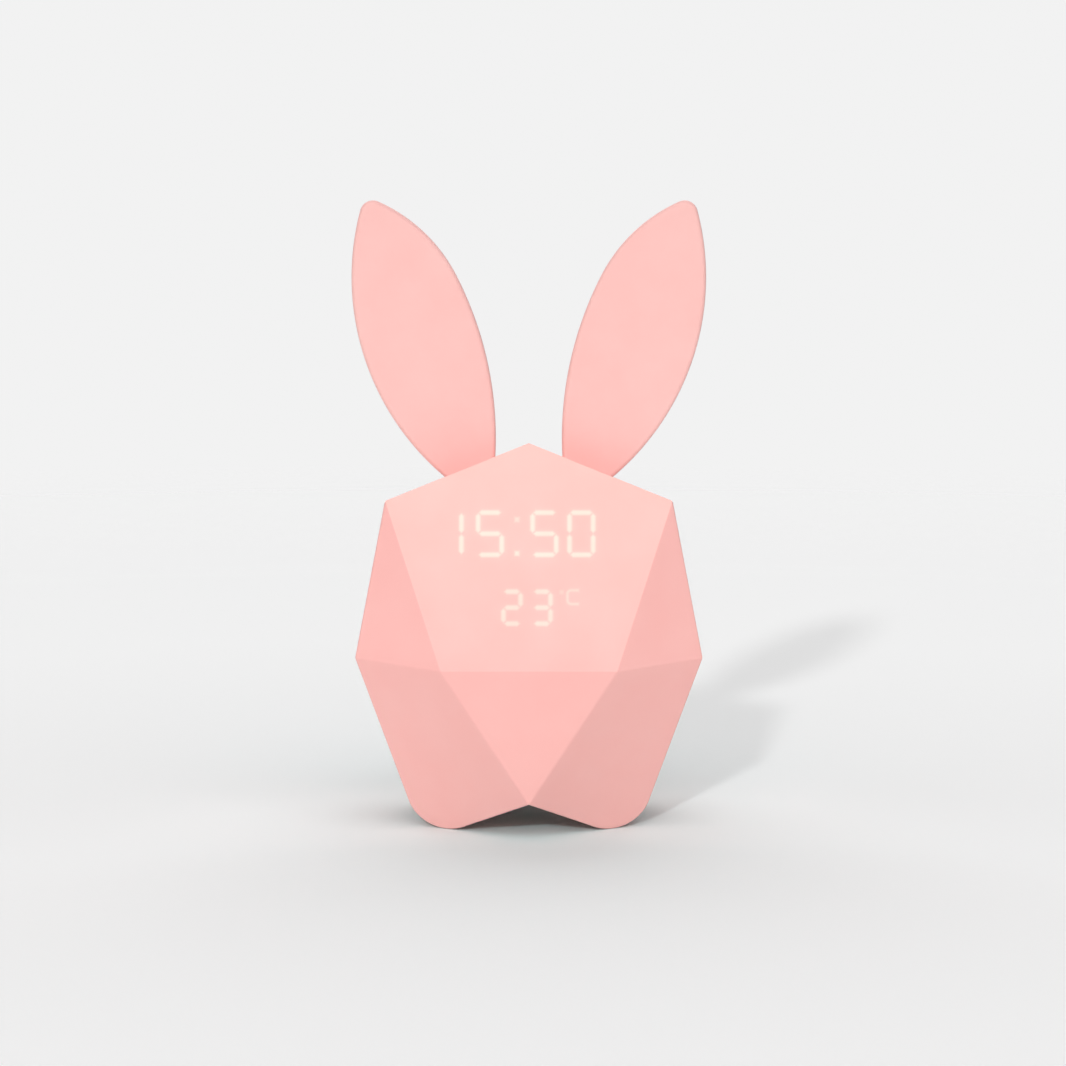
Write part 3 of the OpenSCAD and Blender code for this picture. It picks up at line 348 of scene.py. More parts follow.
# %% Give every solid node its finish
FINISHES = {
    shell_finish: "front_shell rear_shell",
    silicone: "ear_left ear_right",
    key_finish: "key_set key_up key_down key_light",
    rubber_finish: "foot_pads",
    white_finish: "ear_keeper display_reflector display_bars_dark display_connector "
                  "main_connectors speaker_ring battery_tray",
    dark_finish: "key_set_plunger key_up_plunger key_down_plunger key_light_plunger "
                 "key_switch_bodies alarm_slider tap_sensor speaker_basket",
    chip_epoxy: "main_chips temperature_sensor",
    screw_finish: "shell_screws ear_keeper_screw display_board_screws main_board_screws "
                  "speaker_screws battery_tray_screws light_board_screws speaker_magnet",
    socket_finish: "usb_socket alarm_switch_body sound_sensor",
    green_board: "display_board main_board",
    white_board: "light_board",
    foil: "battery_cell",
    film: "display_diffuser",
    bar_finish: "display_bars_lit display_leds",
    chip_light: "light_leds",
    red_wire: "speaker_lead battery_lead",
    pale_wire: "light_lead",
    ribbon: "ribbon_cable",
    paper: "speaker_cone",
    foam: "battery_strap",
}


def wear(obj, finish):
    """Makes finish the only material of obj."""
    obj.data.materials.clear()
    obj.data.materials.append(finish.material)


for finish, names in FINISHES.items():
    for name in names.split():
        wear(nodes[name], finish)
print(sum(len(n.split()) for n in FINISHES.values()), "nodes finished")

# %% [markdown]
# ## The display's light in the front wall
# The figures are not printed: bars of light stand behind a 2 mm wall, so on the
# outside each bar shows as a soft cream stroke. Light that really scatters through
# the wall would be truer, but it renders slowly and stays noisy. So the brightness
# is worked out on a fine grid in the front face, from the distance to every bar,
# and is kept as an attribute that the shell's finish turns into light.

# %% Glow of the figures
BAR, BAR_GAP = 1.3, 0.4
# Middle of each figure across the face, and the figure
TIME = ((-20.8, 1), (-10.2, 5), (4.1, 5), (13.8, 0))
TEMPERATURE = ((-4.4, 2), (3.45, 3))
TIME_FOOT, TIME_SIZE, TIME_LIGHT = 30.1, (7.5, 12.4), 1.0
TEMPERATURE_FOOT, TEMPERATURE_SIZE, TEMPERATURE_LIGHT = 12.0, (5.8, 9.7), 0.85
# Bars in the order top, upper right, lower right, foot, lower left, upper left, middle
LIT = {0: "1111110", 1: "0110000", 2: "1101101", 3: "1111001", 5: "1011011"}
# Dots of the colon and the degree mark: x, y, half width and brightness
DOTS = ((-3.1, 31.1, 0.65, 0.95), (-3.1, 40.0, 0.65, 0.6), (8.6, 20.9, 0.55, 0.35))
C_LEFT, C_MIDDLE, C_HALF, C_LENGTH = 10.15, 19.6, 1.8, 3.0
C_ROUND, C_STROKE, C_LIGHT = 1.0, 0.7, 0.62
BLUR = 0.42
HALO, HALO_REACH = 0.10, 1.1


def figure_bars(x, foot, size, digit, light):
    """The lit bars of one figure as rows of middle x, middle y, half length, half
    width, upright or not, pointed or not, and brightness, in millimetres."""
    reach, rise = size[0] - BAR, (size[1] - BAR) / 2
    low, high = foot + BAR / 2, foot + size[1] - BAR / 2
    upper, lower = high - rise / 2, low + rise / 2
    places = [(0, high, 0), (reach / 2, upper, 1), (reach / 2, lower, 1), (0, low, 0),
              (-reach / 2, lower, 1), (-reach / 2, upper, 1), (0, foot + size[1] / 2, 0)]
    return [(x + dx, y, ((rise if upright else reach) - BAR_GAP) / 2, BAR / 2, upright, 1, light)
            for (dx, y, upright), on in zip(places, LIT[digit]) if on == "1"]


bars = [row for x, digit in TIME
        for row in figure_bars(x, TIME_FOOT, TIME_SIZE, digit, TIME_LIGHT)]
bars += [row for x, digit in TEMPERATURE
         for row in figure_bars(x, TEMPERATURE_FOOT, TEMPERATURE_SIZE, digit, TEMPERATURE_LIGHT)]
bars += [(x, y, half, half, 0, 0, light) for x, y, half, light in DOTS]


def c_distance(x, y):
    """Distance outside the stroke of the C, which is a line with two round corners
    that is open to the right."""
    p, q = C_ROUND - (x - C_LEFT), abs(y - C_MIDDLE) - (C_HALF - C_ROUND)
    line = np.hypot(np.maximum(p, 0), np.maximum(q, 0)) + np.minimum(np.maximum(p, q), 0) - C_ROUND
    return np.maximum(abs(line) - C_STROKE / 2, x - C_LEFT - C_LENGTH)


def softened_light(distance, light):
    """Light at a distance from a lit shape: from full to none over a blur width on
    both sides of its edge, with a faint halo outside."""
    t = np.clip(0.5 - distance / (2 * BLUR), 0, 1)
    halo = HALO * np.exp(-np.clip(distance, 0, None) / HALO_REACH)
    return light * np.maximum(t * t * (3 - 2 * t), halo)


def glow_at(x, y):
    """Brightness at a point of the front face, from 0 to 1. The distance to a bar
    is the larger of |across| minus half its width and, for a pointed bar, the
    distance to its slanting ends."""
    total = softened_light(c_distance(x, y), C_LIGHT)
    for cx, cy, half_length, half_width, upright, pointed, light in bars:
        along, across = (y - cy, x - cx) if upright else (x - cx, y - cy)
        along, across = abs(along), abs(across)
        ends = (along + across - half_length) / sqrt(2) if pointed else along - half_length
        total = np.maximum(total, softened_light(np.maximum(across - half_width, ends), light))
    return total


print(len(bars), "lit bars")

# %% [markdown]
# ## The two shells
# The shells could be modelled anew, but a copy of the solid's mesh, joined into one
# skin, keeps every hole and boss in its true place. A mould leaves small radii, so
# the long facet edges get a 0.45 mm rounding, and the parting edge and the rims of
# the holes a smaller one: a Bevel by edge weight gives each edge its own. The two
# halves then meet in a fine groove.

# %% Shell copies with rounded edges
EDGE = 0.45 * MM
RIM_SHARE = 0.36
FACE_RIM = 1.5 * MM
GRID = 0.2 * MM
PATCH_X = (-23.4 * MM, 22.6 * MM)
PATCH_Y = (8.5 * MM, 46 * MM)
WIDE_FACE = 100 * MM * MM
FOOT_TOP = 11.5 * MM


def joined(node):
    """A copy of a solid's mesh with its loose triangles joined and its flat areas
    made whole."""
    mesh = nodes[node].data.copy()
    mesh.attributes.remove(mesh.attributes["custom_normal"])
    bm = bmesh.new()
    bm.from_mesh(mesh)
    bmesh.ops.remove_doubles(bm, verts=bm.verts, dist=1e-7)
    bmesh.ops.dissolve_limit(bm, angle_limit=radians(0.05), verts=bm.verts, edges=bm.edges)
    bpy.data.meshes.remove(mesh)
    return bm


def face_patch():
    """A flat grid on the front face that holds the figures: x and y in equal
    steps, every four neighbours joined by one square."""
    x = np.arange(PATCH_X[0], PATCH_X[1] + GRID / 2, GRID)
    y = np.arange(PATCH_Y[0], PATCH_Y[1] + GRID / 2, GRID)
    across, up = np.meshgrid(x, y)
    points = front_frame(np.stack([across.ravel(), up.ravel(), np.zeros(across.size)], 1))
    first = (np.arange(len(y) - 1)[:, None] * len(x) + np.arange(len(x) - 1)).ravel()
    squares = np.stack([first, first + 1, first + 1 + len(x), first + len(x)], 1)
    mesh = bpy.data.meshes.new("face_patch")
    mesh.from_pydata(points.tolist(), [], squares.tolist())
    return mesh


def set_patch(bm):
    """Lets the grid into the front face: the face keeps a rim, and triangles fill
    the space between the rim and the grid."""
    front = max((f for f in bm.faces if f.normal.y < -0.9), key=lambda f: f.calc_area())
    bmesh.ops.inset_region(bm, faces=[front], thickness=FACE_RIM)
    bmesh.ops.delete(bm, geom=[front], context="FACES_ONLY")
    bm.from_mesh(face_patch())
    gap = [e for e in bm.edges if e.is_boundary]
    bmesh.ops.triangle_fill(bm, edges=gap, use_beauty=True)
    bmesh.ops.recalc_face_normals(bm, faces=bm.faces)
    print("edges left open:", sum(e.is_boundary for e in bm.edges))


def edge_weight(edge):
    """Share of the full rounding that an edge gets: all of it between two outer
    facets and round the legs, less at the parting plane and at holes."""
    if len(edge.link_faces) != 2 or not edge.is_convex or edge.calc_face_angle(0) < radians(12):
        return 0.0
    areas = [f.calc_area() for f in edge.link_faces]
    parting = any(abs(f.normal.y) > 0.999 and abs(f.calc_center_median().y) < 0.01 * MM
                  for f in edge.link_faces)
    if max(areas) < WIDE_FACE:
        return 0.0
    if parting or (min(areas) < WIDE_FACE and edge.verts[0].co.z > FOOT_TOP):
        return RIM_SHARE
    return 1.0


def in_scene(name, data):
    """A new object for data, linked to the scene."""
    obj = bpy.data.objects.new(name, data)
    bpy.context.scene.collection.objects.link(obj)
    return obj


def placed(mesh, name, replaces, body="clock"):
    """Puts a mesh into the scene as a piece that rides on a body, in place of the
    solid nodes that it replaces."""
    obj = in_scene(name, mesh)
    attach(obj, body)
    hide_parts(*replaces)
    return obj


def finished_mesh(bm, name, replaces, body="clock"):
    """The same for a bmesh, which is all shaded smooth but for its sharp edges."""
    for face in bm.faces:
        face.smooth = True
    mesh = bpy.data.meshes.new(name)
    bm.to_mesh(mesh)
    bm.free()
    return placed(mesh, name, replaces, body)


def weigh_edges(bm, weight, smooth_below):
    """Stores how far each edge is rounded, and which edges are shaded smooth."""
    layer = bm.edges.layers.float.new("bevel_weight_edge")
    for edge in bm.edges:
        edge[layer] = float(weight(edge))
        edge.smooth = edge.calc_face_angle(0) < smooth_below


def bevelled(obj, name, radius, segments, clamp):
    """Rounds the weighted edges of obj by up to radius."""
    bevel = obj.modifiers.new(name, "BEVEL")
    bevel.width, bevel.segments, bevel.limit_method = radius, segments, "WEIGHT"
    bevel.use_clamp_overlap, bevel.harden_normals = clamp, True


def shell(node, patched):
    """One half of the body: the joined solid, its edge weights, and a bevel that
    rounds each edge by its weight."""
    bm = joined(node)
    if patched:
        set_patch(bm)
    weigh_edges(bm, edge_weight, radians(25))
    obj = finished_mesh(bm, node + "_moulding", [node])
    bevelled(obj, "moulded radius", EDGE, 3, False)
    return obj


front = shell("front_shell", True)
rear = shell("rear_shell", False)

print(len(front.data.vertices), "and", len(rear.data.vertices), "points in the shells")

# %% Light of the front wall
# Painted light: a glow lifts the whole wall in front of the display, and no other facet. It stands
# in for stray light of the display and for light that falls on the face, and it is painted
# brighter from the lower edge up.
PAINTED_LIFT_FOOT, PAINTED_LIFT_PER_MM = 0.09, 0.0043
GLOW_TINT, GLOW_LEVEL = (1.0, 0.82, 0.62, 1), 0.3
ON_FACE = 0.001 * MM


def read(items, field, width=1):
    """One field of all items of a mesh, as an array of rows."""
    values = np.zeros(len(items) * width, np.float32 if width > 1 else np.int32)
    items.foreach_get(field, values)
    return values.reshape(-1, width).astype(float) if width > 1 else values


def store(mesh, name, domain, values):
    """Keeps one value for each point or corner of a mesh as an attribute."""
    mesh.attributes.new(name, "FLOAT", domain).data.foreach_set(
        "value", values.astype(np.float32))


mesh = front.data
x, y, z = (read(mesh.vertices, "co", 3) - [0, -HALF_DEPTH, KNEE_HEIGHT]).T
up_face = y * sin(LEAN) + z * cos(LEAN)
off_face = -y * cos(LEAN) + z * sin(LEAN)
glow = glow_at(x / MM, up_face / MM)
# painted light: a glow over the whole front wall, brighter towards its top
painted_lift = PAINTED_LIFT_FOOT + PAINTED_LIFT_PER_MM * up_face / MM
corner_point = read(mesh.loops, "vertex_index")
face_start, face_size = read(mesh.polygons, "loop_start"), read(mesh.polygons, "loop_total")
in_face = np.logical_and.reduceat((abs(off_face) < ON_FACE)[corner_point], face_start)
store(mesh, "glow", "CORNER",
      np.where(in_face.repeat(face_size), (glow + painted_lift)[corner_point], 0))

front_finish = moulded("pink_shell_plastic_lit", SHELL_PALE, SHELL_DEEP, 0.55)
front_finish.set(Emission_Color=GLOW_TINT, Emission_Strength=front_finish.calc(
    "MULTIPLY", front_finish.stored("glow"), GLOW_LEVEL))
wear(front, front_finish)
wear(rear, shell_finish)
print(in_face.sum(), "faces lit, brightest", round(float(glow.max()), 2))

# %% [markdown]
# ## The ears
# Each ear is one flat leaf of cast silicone, 4 mm thick, with a block at its root
# that stops under the roof. A two-part mould gives the leaf rounded rims and a
# fine parting line half-way through its thickness. The outline is four arcs: the
# long inner edge, the crown that bends over from it, the tip, and the long outer
# edge. A Bevel could round the rim but would not add the parting line, so the
# rim's whole section is carried along the outline, with normals by the same formula.

# %% Ear leaves
OUTER_R, INNER_R, CROWN_R, TIP_R = 69.0, 94.5, 42.5, 3.5
OUTER_MID = np.array([5.8 - OUTER_R, -20.5])
INNER_MID = np.array([-32.3 + INNER_R, -62.8])
CROWN_TURN = radians(152.9)
CROWN_MID = INNER_MID + (INNER_R - CROWN_R) * np.array([cos(CROWN_TURN), sin(CROWN_TURN)])
EAR_TOP, EAR_TOP_X, EAR_Y, EAR_T = 168.5, 41.1, -24.0, 4.0
LEAF_FOOT = 90.0
RIM_R = 1.1
SEAM, SEAM_REACH, SEAM_SPREAD = 0.06, 0.3, 0.09
ROOT_X, ROOT_Y, ROOT_FOOT, ROOT_UNDER_ROOF = (7.0, 26.6), (-29.2, -19.0), 83.04, 2.08


def circles_meet(a, ra, b, rb):
    """Upper point where two circles meet: along the line of middles by the share
    that the radii give, then square to it."""
    d = np.linalg.norm(b - a)
    u = (b - a) / d
    s = (d * d + ra * ra - rb * rb) / (2 * d)
    return a + s * u + sqrt(ra * ra - s * s) * np.array([-u[1], u[0]])


def arc(middle, r, start, end, steps):
    """Points of an arc and the outward normals there."""
    a = np.linspace(start, end, steps)
    normals = np.stack([np.cos(a), np.sin(a)], 1)
    return middle + r * normals, normals


def angle_of(v):
    """Angle of a direction, from the first axis towards the second."""
    return np.arctan2(v[1], v[0])


def ear_path():
    """The right ear's outline from the foot of its inner edge over the tip to the
    foot of its outer edge, with normals, in millimetres in the ear's plane. Each
    arc begins where the one before it ends, in the same direction."""
    tip = circles_meet(OUTER_MID, OUTER_R - TIP_R, CROWN_MID, CROWN_R - TIP_R)
    shift = np.array([EAR_TOP_X, EAR_TOP]) - tip - [0, TIP_R]
    outer, inner, crown, tip = (p + shift for p in (OUTER_MID, INNER_MID, CROWN_MID, tip))
    low_inner = pi - np.arcsin((LEAF_FOOT - inner[1]) / INNER_R)
    low_outer = np.arcsin((LEAF_FOOT - outer[1]) / OUTER_R)
    tip_start, tip_end = angle_of(tip - crown), angle_of(tip - outer)
    legs = [arc(inner, INNER_R, low_inner, CROWN_TURN, 60),
            arc(crown, CROWN_R, CROWN_TURN, tip_start, 60),
            arc(tip, TIP_R, tip_start, tip_end, 41),
            arc(outer, OUTER_R, tip_end, low_outer, 120)]
    points = np.concatenate([legs[0][0]] + [leg[0][1:] for leg in legs[1:]])
    normals = np.concatenate([legs[0][1]] + [leg[1][1:] for leg in legs[1:]])
    normals[0], normals[-1] = (-1, 0), (1, 0)
    return points, normals


def rim_profile():
    """Section across the rim: y through the thickness, offset along the
    outline's normal, and the direction of the surface normal (outwards, y). Two
    quarter circles, and between them a flat with the parting line's fine ridge."""
    a = np.linspace(pi / 2, 0, 8)
    front_y, front_e = -EAR_T / 2 + RIM_R * (1 - np.sin(a)), RIM_R * np.cos(a) - RIM_R - SEAM
    width = SEAM_REACH * np.array([-1, -0.4, 0, 0.4, 1])
    ridge = -SEAM * (1 - np.exp(-(width / SEAM_SPREAD) ** 2))
    y = np.concatenate([front_y, width, -front_y[::-1]])
    e = np.concatenate([front_e, ridge, front_e[::-1]])
    out = np.concatenate([np.cos(a), [1, 0.8, 1, 0.8, 1], np.cos(a[::-1])])
    side = np.concatenate([-np.sin(a), [0, -0.6, 0, 0.6, 0], np.sin(a[::-1])])
    return y, e, out, side


def root_block():
    """Corners and faces of the block at the ear's root: a box whose top follows
    the underside of the roof."""
    x, y = np.meshgrid(ROOT_X, ROOT_Y, indexing="ij")
    x, y = x.ravel(), y.ravel()
    low = np.stack([x, y, np.full(4, ROOT_FOOT)], 1)
    high = np.stack([x, y, roof_height(x, y, ROOT_UNDER_ROOF)], 1)
    faces = np.array([(0, 1, 3, 2), (4, 6, 7, 5), (0, 2, 6, 4),
                      (1, 5, 7, 3), (0, 4, 5, 1), (2, 3, 7, 6)])
    return np.concatenate([low, high]), faces


def ear(name, side):
    """The leaf as one closed skin: the rim profile carried along the outline, a
    flat face on each side and one across the foot. The root block is a second
    closed skin round the leaf's foot."""
    path, normals = ear_path()
    y, e, out, across = rim_profile()
    n, m = len(path), len(y)
    flat = path[:, None, :] + e[None, :, None] * normals[:, None, :]
    points = np.stack([flat[..., 0] * side, np.broadcast_to(EAR_Y + y, (n, m)), flat[..., 1]], 2)
    turned = np.stack([normals[:, None, 0] * out * side, np.broadcast_to(across, (n, m)),
                       normals[:, None, 1] * out], 2)
    first = (np.arange(n - 1)[:, None] * m + np.arange(m - 1)).ravel()
    row = np.arange(n // 2)
    near, far = row[:-1] * m, row[1:] * m
    last = (n - 1) * m
    flat_front = np.stack([near, last - near, last - far, far], 1)
    foot_row = np.arange(m - 1)
    foot = np.stack([foot_row, foot_row + 1, foot_row + 1 + last, foot_row + last], 1)
    block, block_faces = root_block()
    faces = np.concatenate([
        np.stack([first, first + m, first + m + 1, first + 1], 1),
        flat_front, flat_front[:, ::-1] + m - 1, foot, block_faces + n * m])
    faces = (faces if side > 0 else faces[:, ::-1]).tolist()
    mesh = bpy.data.meshes.new(name)
    mesh.from_pydata(np.concatenate([points.reshape(-1, 3), block * [side, 1, 1]]) * MM, [], faces)
    mesh.polygons.foreach_set("use_smooth", [True] * len(faces))
    turned = (turned / np.linalg.norm(turned, axis=2, keepdims=True)).reshape(-1, 3)
    corners = np.concatenate(faces)
    block_corners = 4 * len(block_faces)
    flat_normals = np.array([p.normal for p in mesh.polygons[-len(block_faces):]]).repeat(4, 0)
    mesh.normals_split_custom_set(np.concatenate([turned[corners[:-block_corners]], flat_normals]))
    return placed(mesh, name, ["ear_right" if side > 0 else "ear_left"])


for name, side in (("left_ear_leaf", -1), ("right_ear_leaf", 1)):
    leaf = ear(name, side)
    wear(leaf, silicone)
    print(name, len(leaf.data.vertices), "points")

# %% [markdown]
# ## Keys, slider and charging socket
# The keys are small turned forms: a cap with a rounded edge and a shallow dish, a
# flange that stops it behind the wall, and a stem. Each cap carries one raised
# mark, a ring, a plus, a minus or a small sun, so that it can be told by touch.
# Marks joined on by a Boolean would have untidy rims, so the top of a cap is a fine
# round grid that a formula lifts. The slider has cross ridges for a fingernail. The
# socket is a drawn steel sleeve with rounded corners round a plastic tongue.

# %% Helpers for turned and swept forms
def wall_faces(rows, columns):
    """Squares that join each row of points to the next, closed round the row."""
    here = np.arange(columns)
    there = np.roll(here, -1)
    start = np.arange(rows - 1)[:, None] * columns
    above = start + columns
    squares = np.stack([start + here, start + there, above + there, above + here], 2)
    return squares.reshape(-1, 4).tolist()


def skin(rows):
    """A closed form through equal rows of points: squares join each row to the
    next, and one flat face closes each end."""
    count, total = len(rows[0]), len(rows) * len(rows[0])
    ends = [list(range(count))[::-1], list(range(total - count, total))]
    return np.concatenate(rows), wall_faces(len(rows), count) + ends


def lathe(profile, turns=72, lift=None):
    """A closed turned form. profile lists radius and height from the pole at the
    foot to the pole at the top; lift adds to the height at x, y."""
    r, z = np.array(profile, float).T
    a = np.arange(turns) * 2 * pi / turns
    x, y = r[1:-1, None] * np.cos(a), r[1:-1, None] * np.sin(a)
    high = np.broadcast_to(z[1:-1, None], x.shape)
    if lift is not None:
        high = high + lift(x, y, r[1:-1, None], high)
    points = np.stack([x, y, high], 2).reshape(-1, 3)
    count = len(points)
    poles = np.array([[0, 0, z[0]], [0, 0, z[-1] + (lift(0, 0, 0, z[-1]) if lift else 0)]])
    ring = np.arange(turns)
    ahead, last = np.roll(ring, -1), count - turns
    faces = wall_faces(len(r) - 2, turns)
    faces += [(count, j, i) for i, j in zip(ring, ahead)]
    faces += [(count + 1, last + i, last + j) for i, j in zip(ring, ahead)]
    return np.concatenate([points, poles]), faces


def piece(name, points, faces, finish, replaces, body="clock", crease=35):
    """Puts points (in metres) and faces into the scene as one finished piece whose
    edges stay sharp where they turn by more than crease degrees."""
    mesh = bpy.data.meshes.new(name)
    mesh.from_pydata(points, [], faces)
    mesh.polygons.foreach_set("use_smooth", [True] * len(mesh.polygons))
    mesh.set_sharp_from_angle(angle=radians(crease))
    obj = placed(mesh, name, replaces, body)
    wear(obj, finish)
    return obj


def at_controls(points, x, y):
    """Points in millimetres at a place of the control row, moved to the clock."""
    return rear_frame((points + [x, y + CONTROLS_Y, 0]) * MM)


def rounded(r, start, end, middle, steps=7):
    """Corner of radius r about middle, from the angle start to the angle end."""
    a = np.radians(np.linspace(start, end, steps))
    return [(middle[0] + r * cos(v), middle[1] + r * sin(v)) for v in a]


# %% Key caps
KEY_R, KEY_TOP, KEY_ROW = 2.5, 0.8, 14.0
KEY_EDGE, DISH, DISH_R = 0.35, 0.2, 2.1
UNDER_WALL, FLANGE_R, FLANGE_T, FLANGE_EDGE = -2.3, 3.5, 0.8, 0.1
STEM_R, STEM_FOOT, STEM_BEVEL = 1.7, -4.0, (0.2, 0.15)
MARK_HEIGHT, MARK_EDGE, MARK_LINE = 0.19, 0.07, 0.36
BAR_REACH, RING_R, SUN_R, SUN_DOTS, SUN_DOT_R = 0.82, 0.85, 0.5, 1.15, 0.19


def minus_mark(x, y):
    """Distance outside a bar 2 mm long with round ends."""
    return np.hypot(np.maximum(abs(x) - BAR_REACH, 0), y) - MARK_LINE / 2


def plus_mark(x, y):
    """Two such bars crossed."""
    return np.minimum(minus_mark(x, y), minus_mark(y, x))


def ring_mark(x, y):
    """Distance outside a line drawn round a circle."""
    return abs(np.hypot(x, y) - RING_R) - MARK_LINE / 2


def sun_mark(x, y):
    """A disc, and eight dots on a circle round it."""
    a = pi / 4 * np.round(np.arctan2(y, x) / (pi / 4))
    dots = np.hypot(x - SUN_DOTS * np.cos(a), y - SUN_DOTS * np.sin(a)) - SUN_DOT_R
    return np.minimum(np.hypot(x, y) - SUN_R, dots)


def key(name, node, body, x, mark):
    """A turned cap with a flange, a stem and a raised mark, which is also a tone
    deeper than the cap."""
    def share(px, py):
        """None outside the mark and one inside it, over a flank of 2 MARK_EDGE."""
        flank = np.clip(0.5 - mark(px, py) / (2 * MARK_EDGE), 0, 1)
        return flank * flank * (3 - 2 * flank)

    def lift(px, py, r, z):
        """The dish falls as 1 - (r / DISH_R)^2, and the mark rises from it."""
        dish = -DISH * np.clip(1 - (r / DISH_R) ** 2, 0, 1)
        return np.where(z > KEY_TOP - 1e-6, dish + MARK_HEIGHT * share(px, py), 0)

    flange_foot = UNDER_WALL - FLANGE_T
    profile = [(0, STEM_FOOT), (STEM_R - STEM_BEVEL[0], STEM_FOOT),
               (STEM_R, STEM_FOOT + STEM_BEVEL[1]), (STEM_R, flange_foot),
               (FLANGE_R - FLANGE_EDGE, flange_foot),
               (FLANGE_R, flange_foot + FLANGE_EDGE), (FLANGE_R, UNDER_WALL - FLANGE_EDGE),
               (FLANGE_R - FLANGE_EDGE, UNDER_WALL), (KEY_R, UNDER_WALL)]
    profile += rounded(KEY_EDGE, 0, 90, (KEY_R - KEY_EDGE, KEY_TOP - KEY_EDGE))
    profile += [(r, KEY_TOP) for r in np.linspace(KEY_R - KEY_EDGE, 0, 36)[1:]]
    points, faces = lathe(profile, 120, lift)
    cap = piece(name, at_controls(points, x, KEY_ROW), faces, key_finish, [node],
                body, crease=50)
    on_top = points[:, 2] > KEY_TOP - DISH - 0.01
    store(cap.data, "mark", "POINT", np.where(on_top, share(points[:, 0], points[:, 1]), 0))
    return cap


for name, x, mark in (("set", 15, ring_mark), ("up", 5, plus_mark), ("down", -5, minus_mark),
                      ("light", -15, sun_mark)):
    cap = key(name + "_key_cap", "key_" + name, name + "_key", x, mark)
    print(cap.name, len(cap.data.vertices), "points")

# %% Alarm slider
SLIDER_X, LOW_ROW = -11, 6
SLIDER_HALF, SLIDER_TOP, SLIDER_FOOT, SLIDER_EDGE = 1.2, 0.8, -7.1, 0.25
SLIDER_MIDDLE, SLIDER_REACH = np.array([0.0, -3.0]), np.array([SLIDER_HALF, 4.0])
RIDGES, RIDGE_DEPTH = 5, 0.24


def slider_section():
    """The slider seen along its ridges: x and z round it, ending where it began.
    The grip is a row of ridges, each one period of a raised cosine."""
    reach = SLIDER_HALF - SLIDER_EDGE
    x = np.linspace(reach, -reach, 61)
    turns = RIDGES * 2 * pi * (x + reach) / (2 * reach)
    grip = np.stack([x, SLIDER_TOP - RIDGE_DEPTH * (0.5 - 0.5 * np.cos(turns))], 1)
    shoulder = SLIDER_TOP - SLIDER_EDGE
    right = rounded(SLIDER_EDGE, 0, 90, (reach, shoulder))[:-1]
    left = rounded(SLIDER_EDGE, 90, 180, (-reach, shoulder))[1:]
    foot = [(-SLIDER_HALF, SLIDER_FOOT), (SLIDER_HALF, SLIDER_FOOT)]
    return np.concatenate([foot, right, grip, left])


# Rows across the slider, each with how far it is drawn in at the two ends
SLIDER_ROWS = ((-1.1, 0.12), (-1.06, 0.04), (-0.98, 0), (0.98, 0), (1.06, 0.04), (1.1, 0.12))
section = slider_section()
rows = []
for y, inset in SLIDER_ROWS:
    across, up = (SLIDER_MIDDLE + (section - SLIDER_MIDDLE) * (1 - inset / SLIDER_REACH)).T
    rows.append(np.stack([across, np.full(len(section), -y), up], 1))
points, faces = skin(rows)
piece("slider_grip", at_controls(points, SLIDER_X, LOW_ROW), faces, dark_finish,
      ["alarm_slider"], "slider")
print("slider", len(points), "points")

# %% Charging socket
SOCKET_X = 10
MOUTH, MOUTH_LIP = -0.4, 0.12
# Rows from the foot up the outside, over the lip and down to the floor of the
# mouth: half width, half height, corner radius and depth
SLEEVE = ((3.8, 1.4, 0.9, -8.5), (3.8, 1.4, 0.9, MOUTH - MOUTH_LIP), (3.72, 1.32, 0.85, MOUTH),
          (3.55, 1.15, 0.7, MOUTH), (3.45, 1.05, 0.6, MOUTH - MOUTH_LIP), (3.45, 1.05, 0.6, -7.5))
TONGUE = ((2.5, 0.3, 0.1, -7.7), (2.5, 0.3, 0.1, -1.1), (2.4, 0.2, 0.08, -1.0))


def round_box(half_x, half_y, r, z):
    """One level row of points round a box with rounded corners."""
    x, y = half_x - r, half_y - r
    corners = ((x, y, 0), (-x, y, 90), (-x, -y, 180), (x, -y, 270))
    row = [p for cx, cy, start in corners for p in rounded(r, start, start + 90, (cx, cy))]
    return np.array([(px, py, z) for px, py in row])


contacts = Finish("socket_tongue")
on_strip = contacts.spread(contacts.bands(320.0, "X"), 0, 1, (0.55, 0.6))
contacts.set(Base_Color=contacts.between(on_strip, srgb(40, 40, 43), srgb(214, 178, 96)),
             Metallic=on_strip, Roughness=contacts.spread(contacts.noise(2500), 0.3, 0.45))

for name, profile, finish, slot in (
        ("socket_sleeve", SLEEVE, socket_finish, "plated_steel"),
        ("socket_tongue_blade", TONGUE, contacts, "dark_plastic")):
    points, faces = skin([round_box(*row) for row in profile])
    piece(name, at_controls(points, SOCKET_X, LOW_ROW), faces, finish, ["usb_socket"])
    print(name, len(points), "points")

# %% [markdown]
# ## Foot pads
# Four rubber discs sit in recesses of the soles. Their lower edge is rounded, and
# the tread is very slightly hollow so that it grips. The four are one node, so one
# turned disc is copied to the four places within one mesh.

# %% Foot pads
PAD_R, PAD_T, PAD_EDGE, PAD_CHAMFER = 2.5, 1.2, 0.3, 0.1
pad_corners = read(nodes["foot_pads"].data.vertices, "co", 3) / MM
pad_x, pad_y = abs(pad_corners[:, :2]).max(0) - PAD_R
tread = [(0, 0.05), (0.8, 0.045), (1.5, 0.02), (2.0, 0)]
tread += rounded(PAD_EDGE, 270, 360, (PAD_R - PAD_EDGE, PAD_EDGE))
tread += [(PAD_R, PAD_T - PAD_CHAMFER), (PAD_R - PAD_CHAMFER, PAD_T), (0, PAD_T)]
disc, disc_faces = lathe(tread, 48)
points = np.concatenate([disc + [sx * pad_x, sy * pad_y, 0] for sx in (-1, 1) for sy in (-1, 1)])
faces = [tuple(i + len(disc) * k for i in face) for k in range(4) for face in disc_faces]
piece("foot_pad_discs", points * MM, faces, rubber_finish, ["foot_pads"])
print("pads at", round(pad_x, 2), round(pad_y, 2))

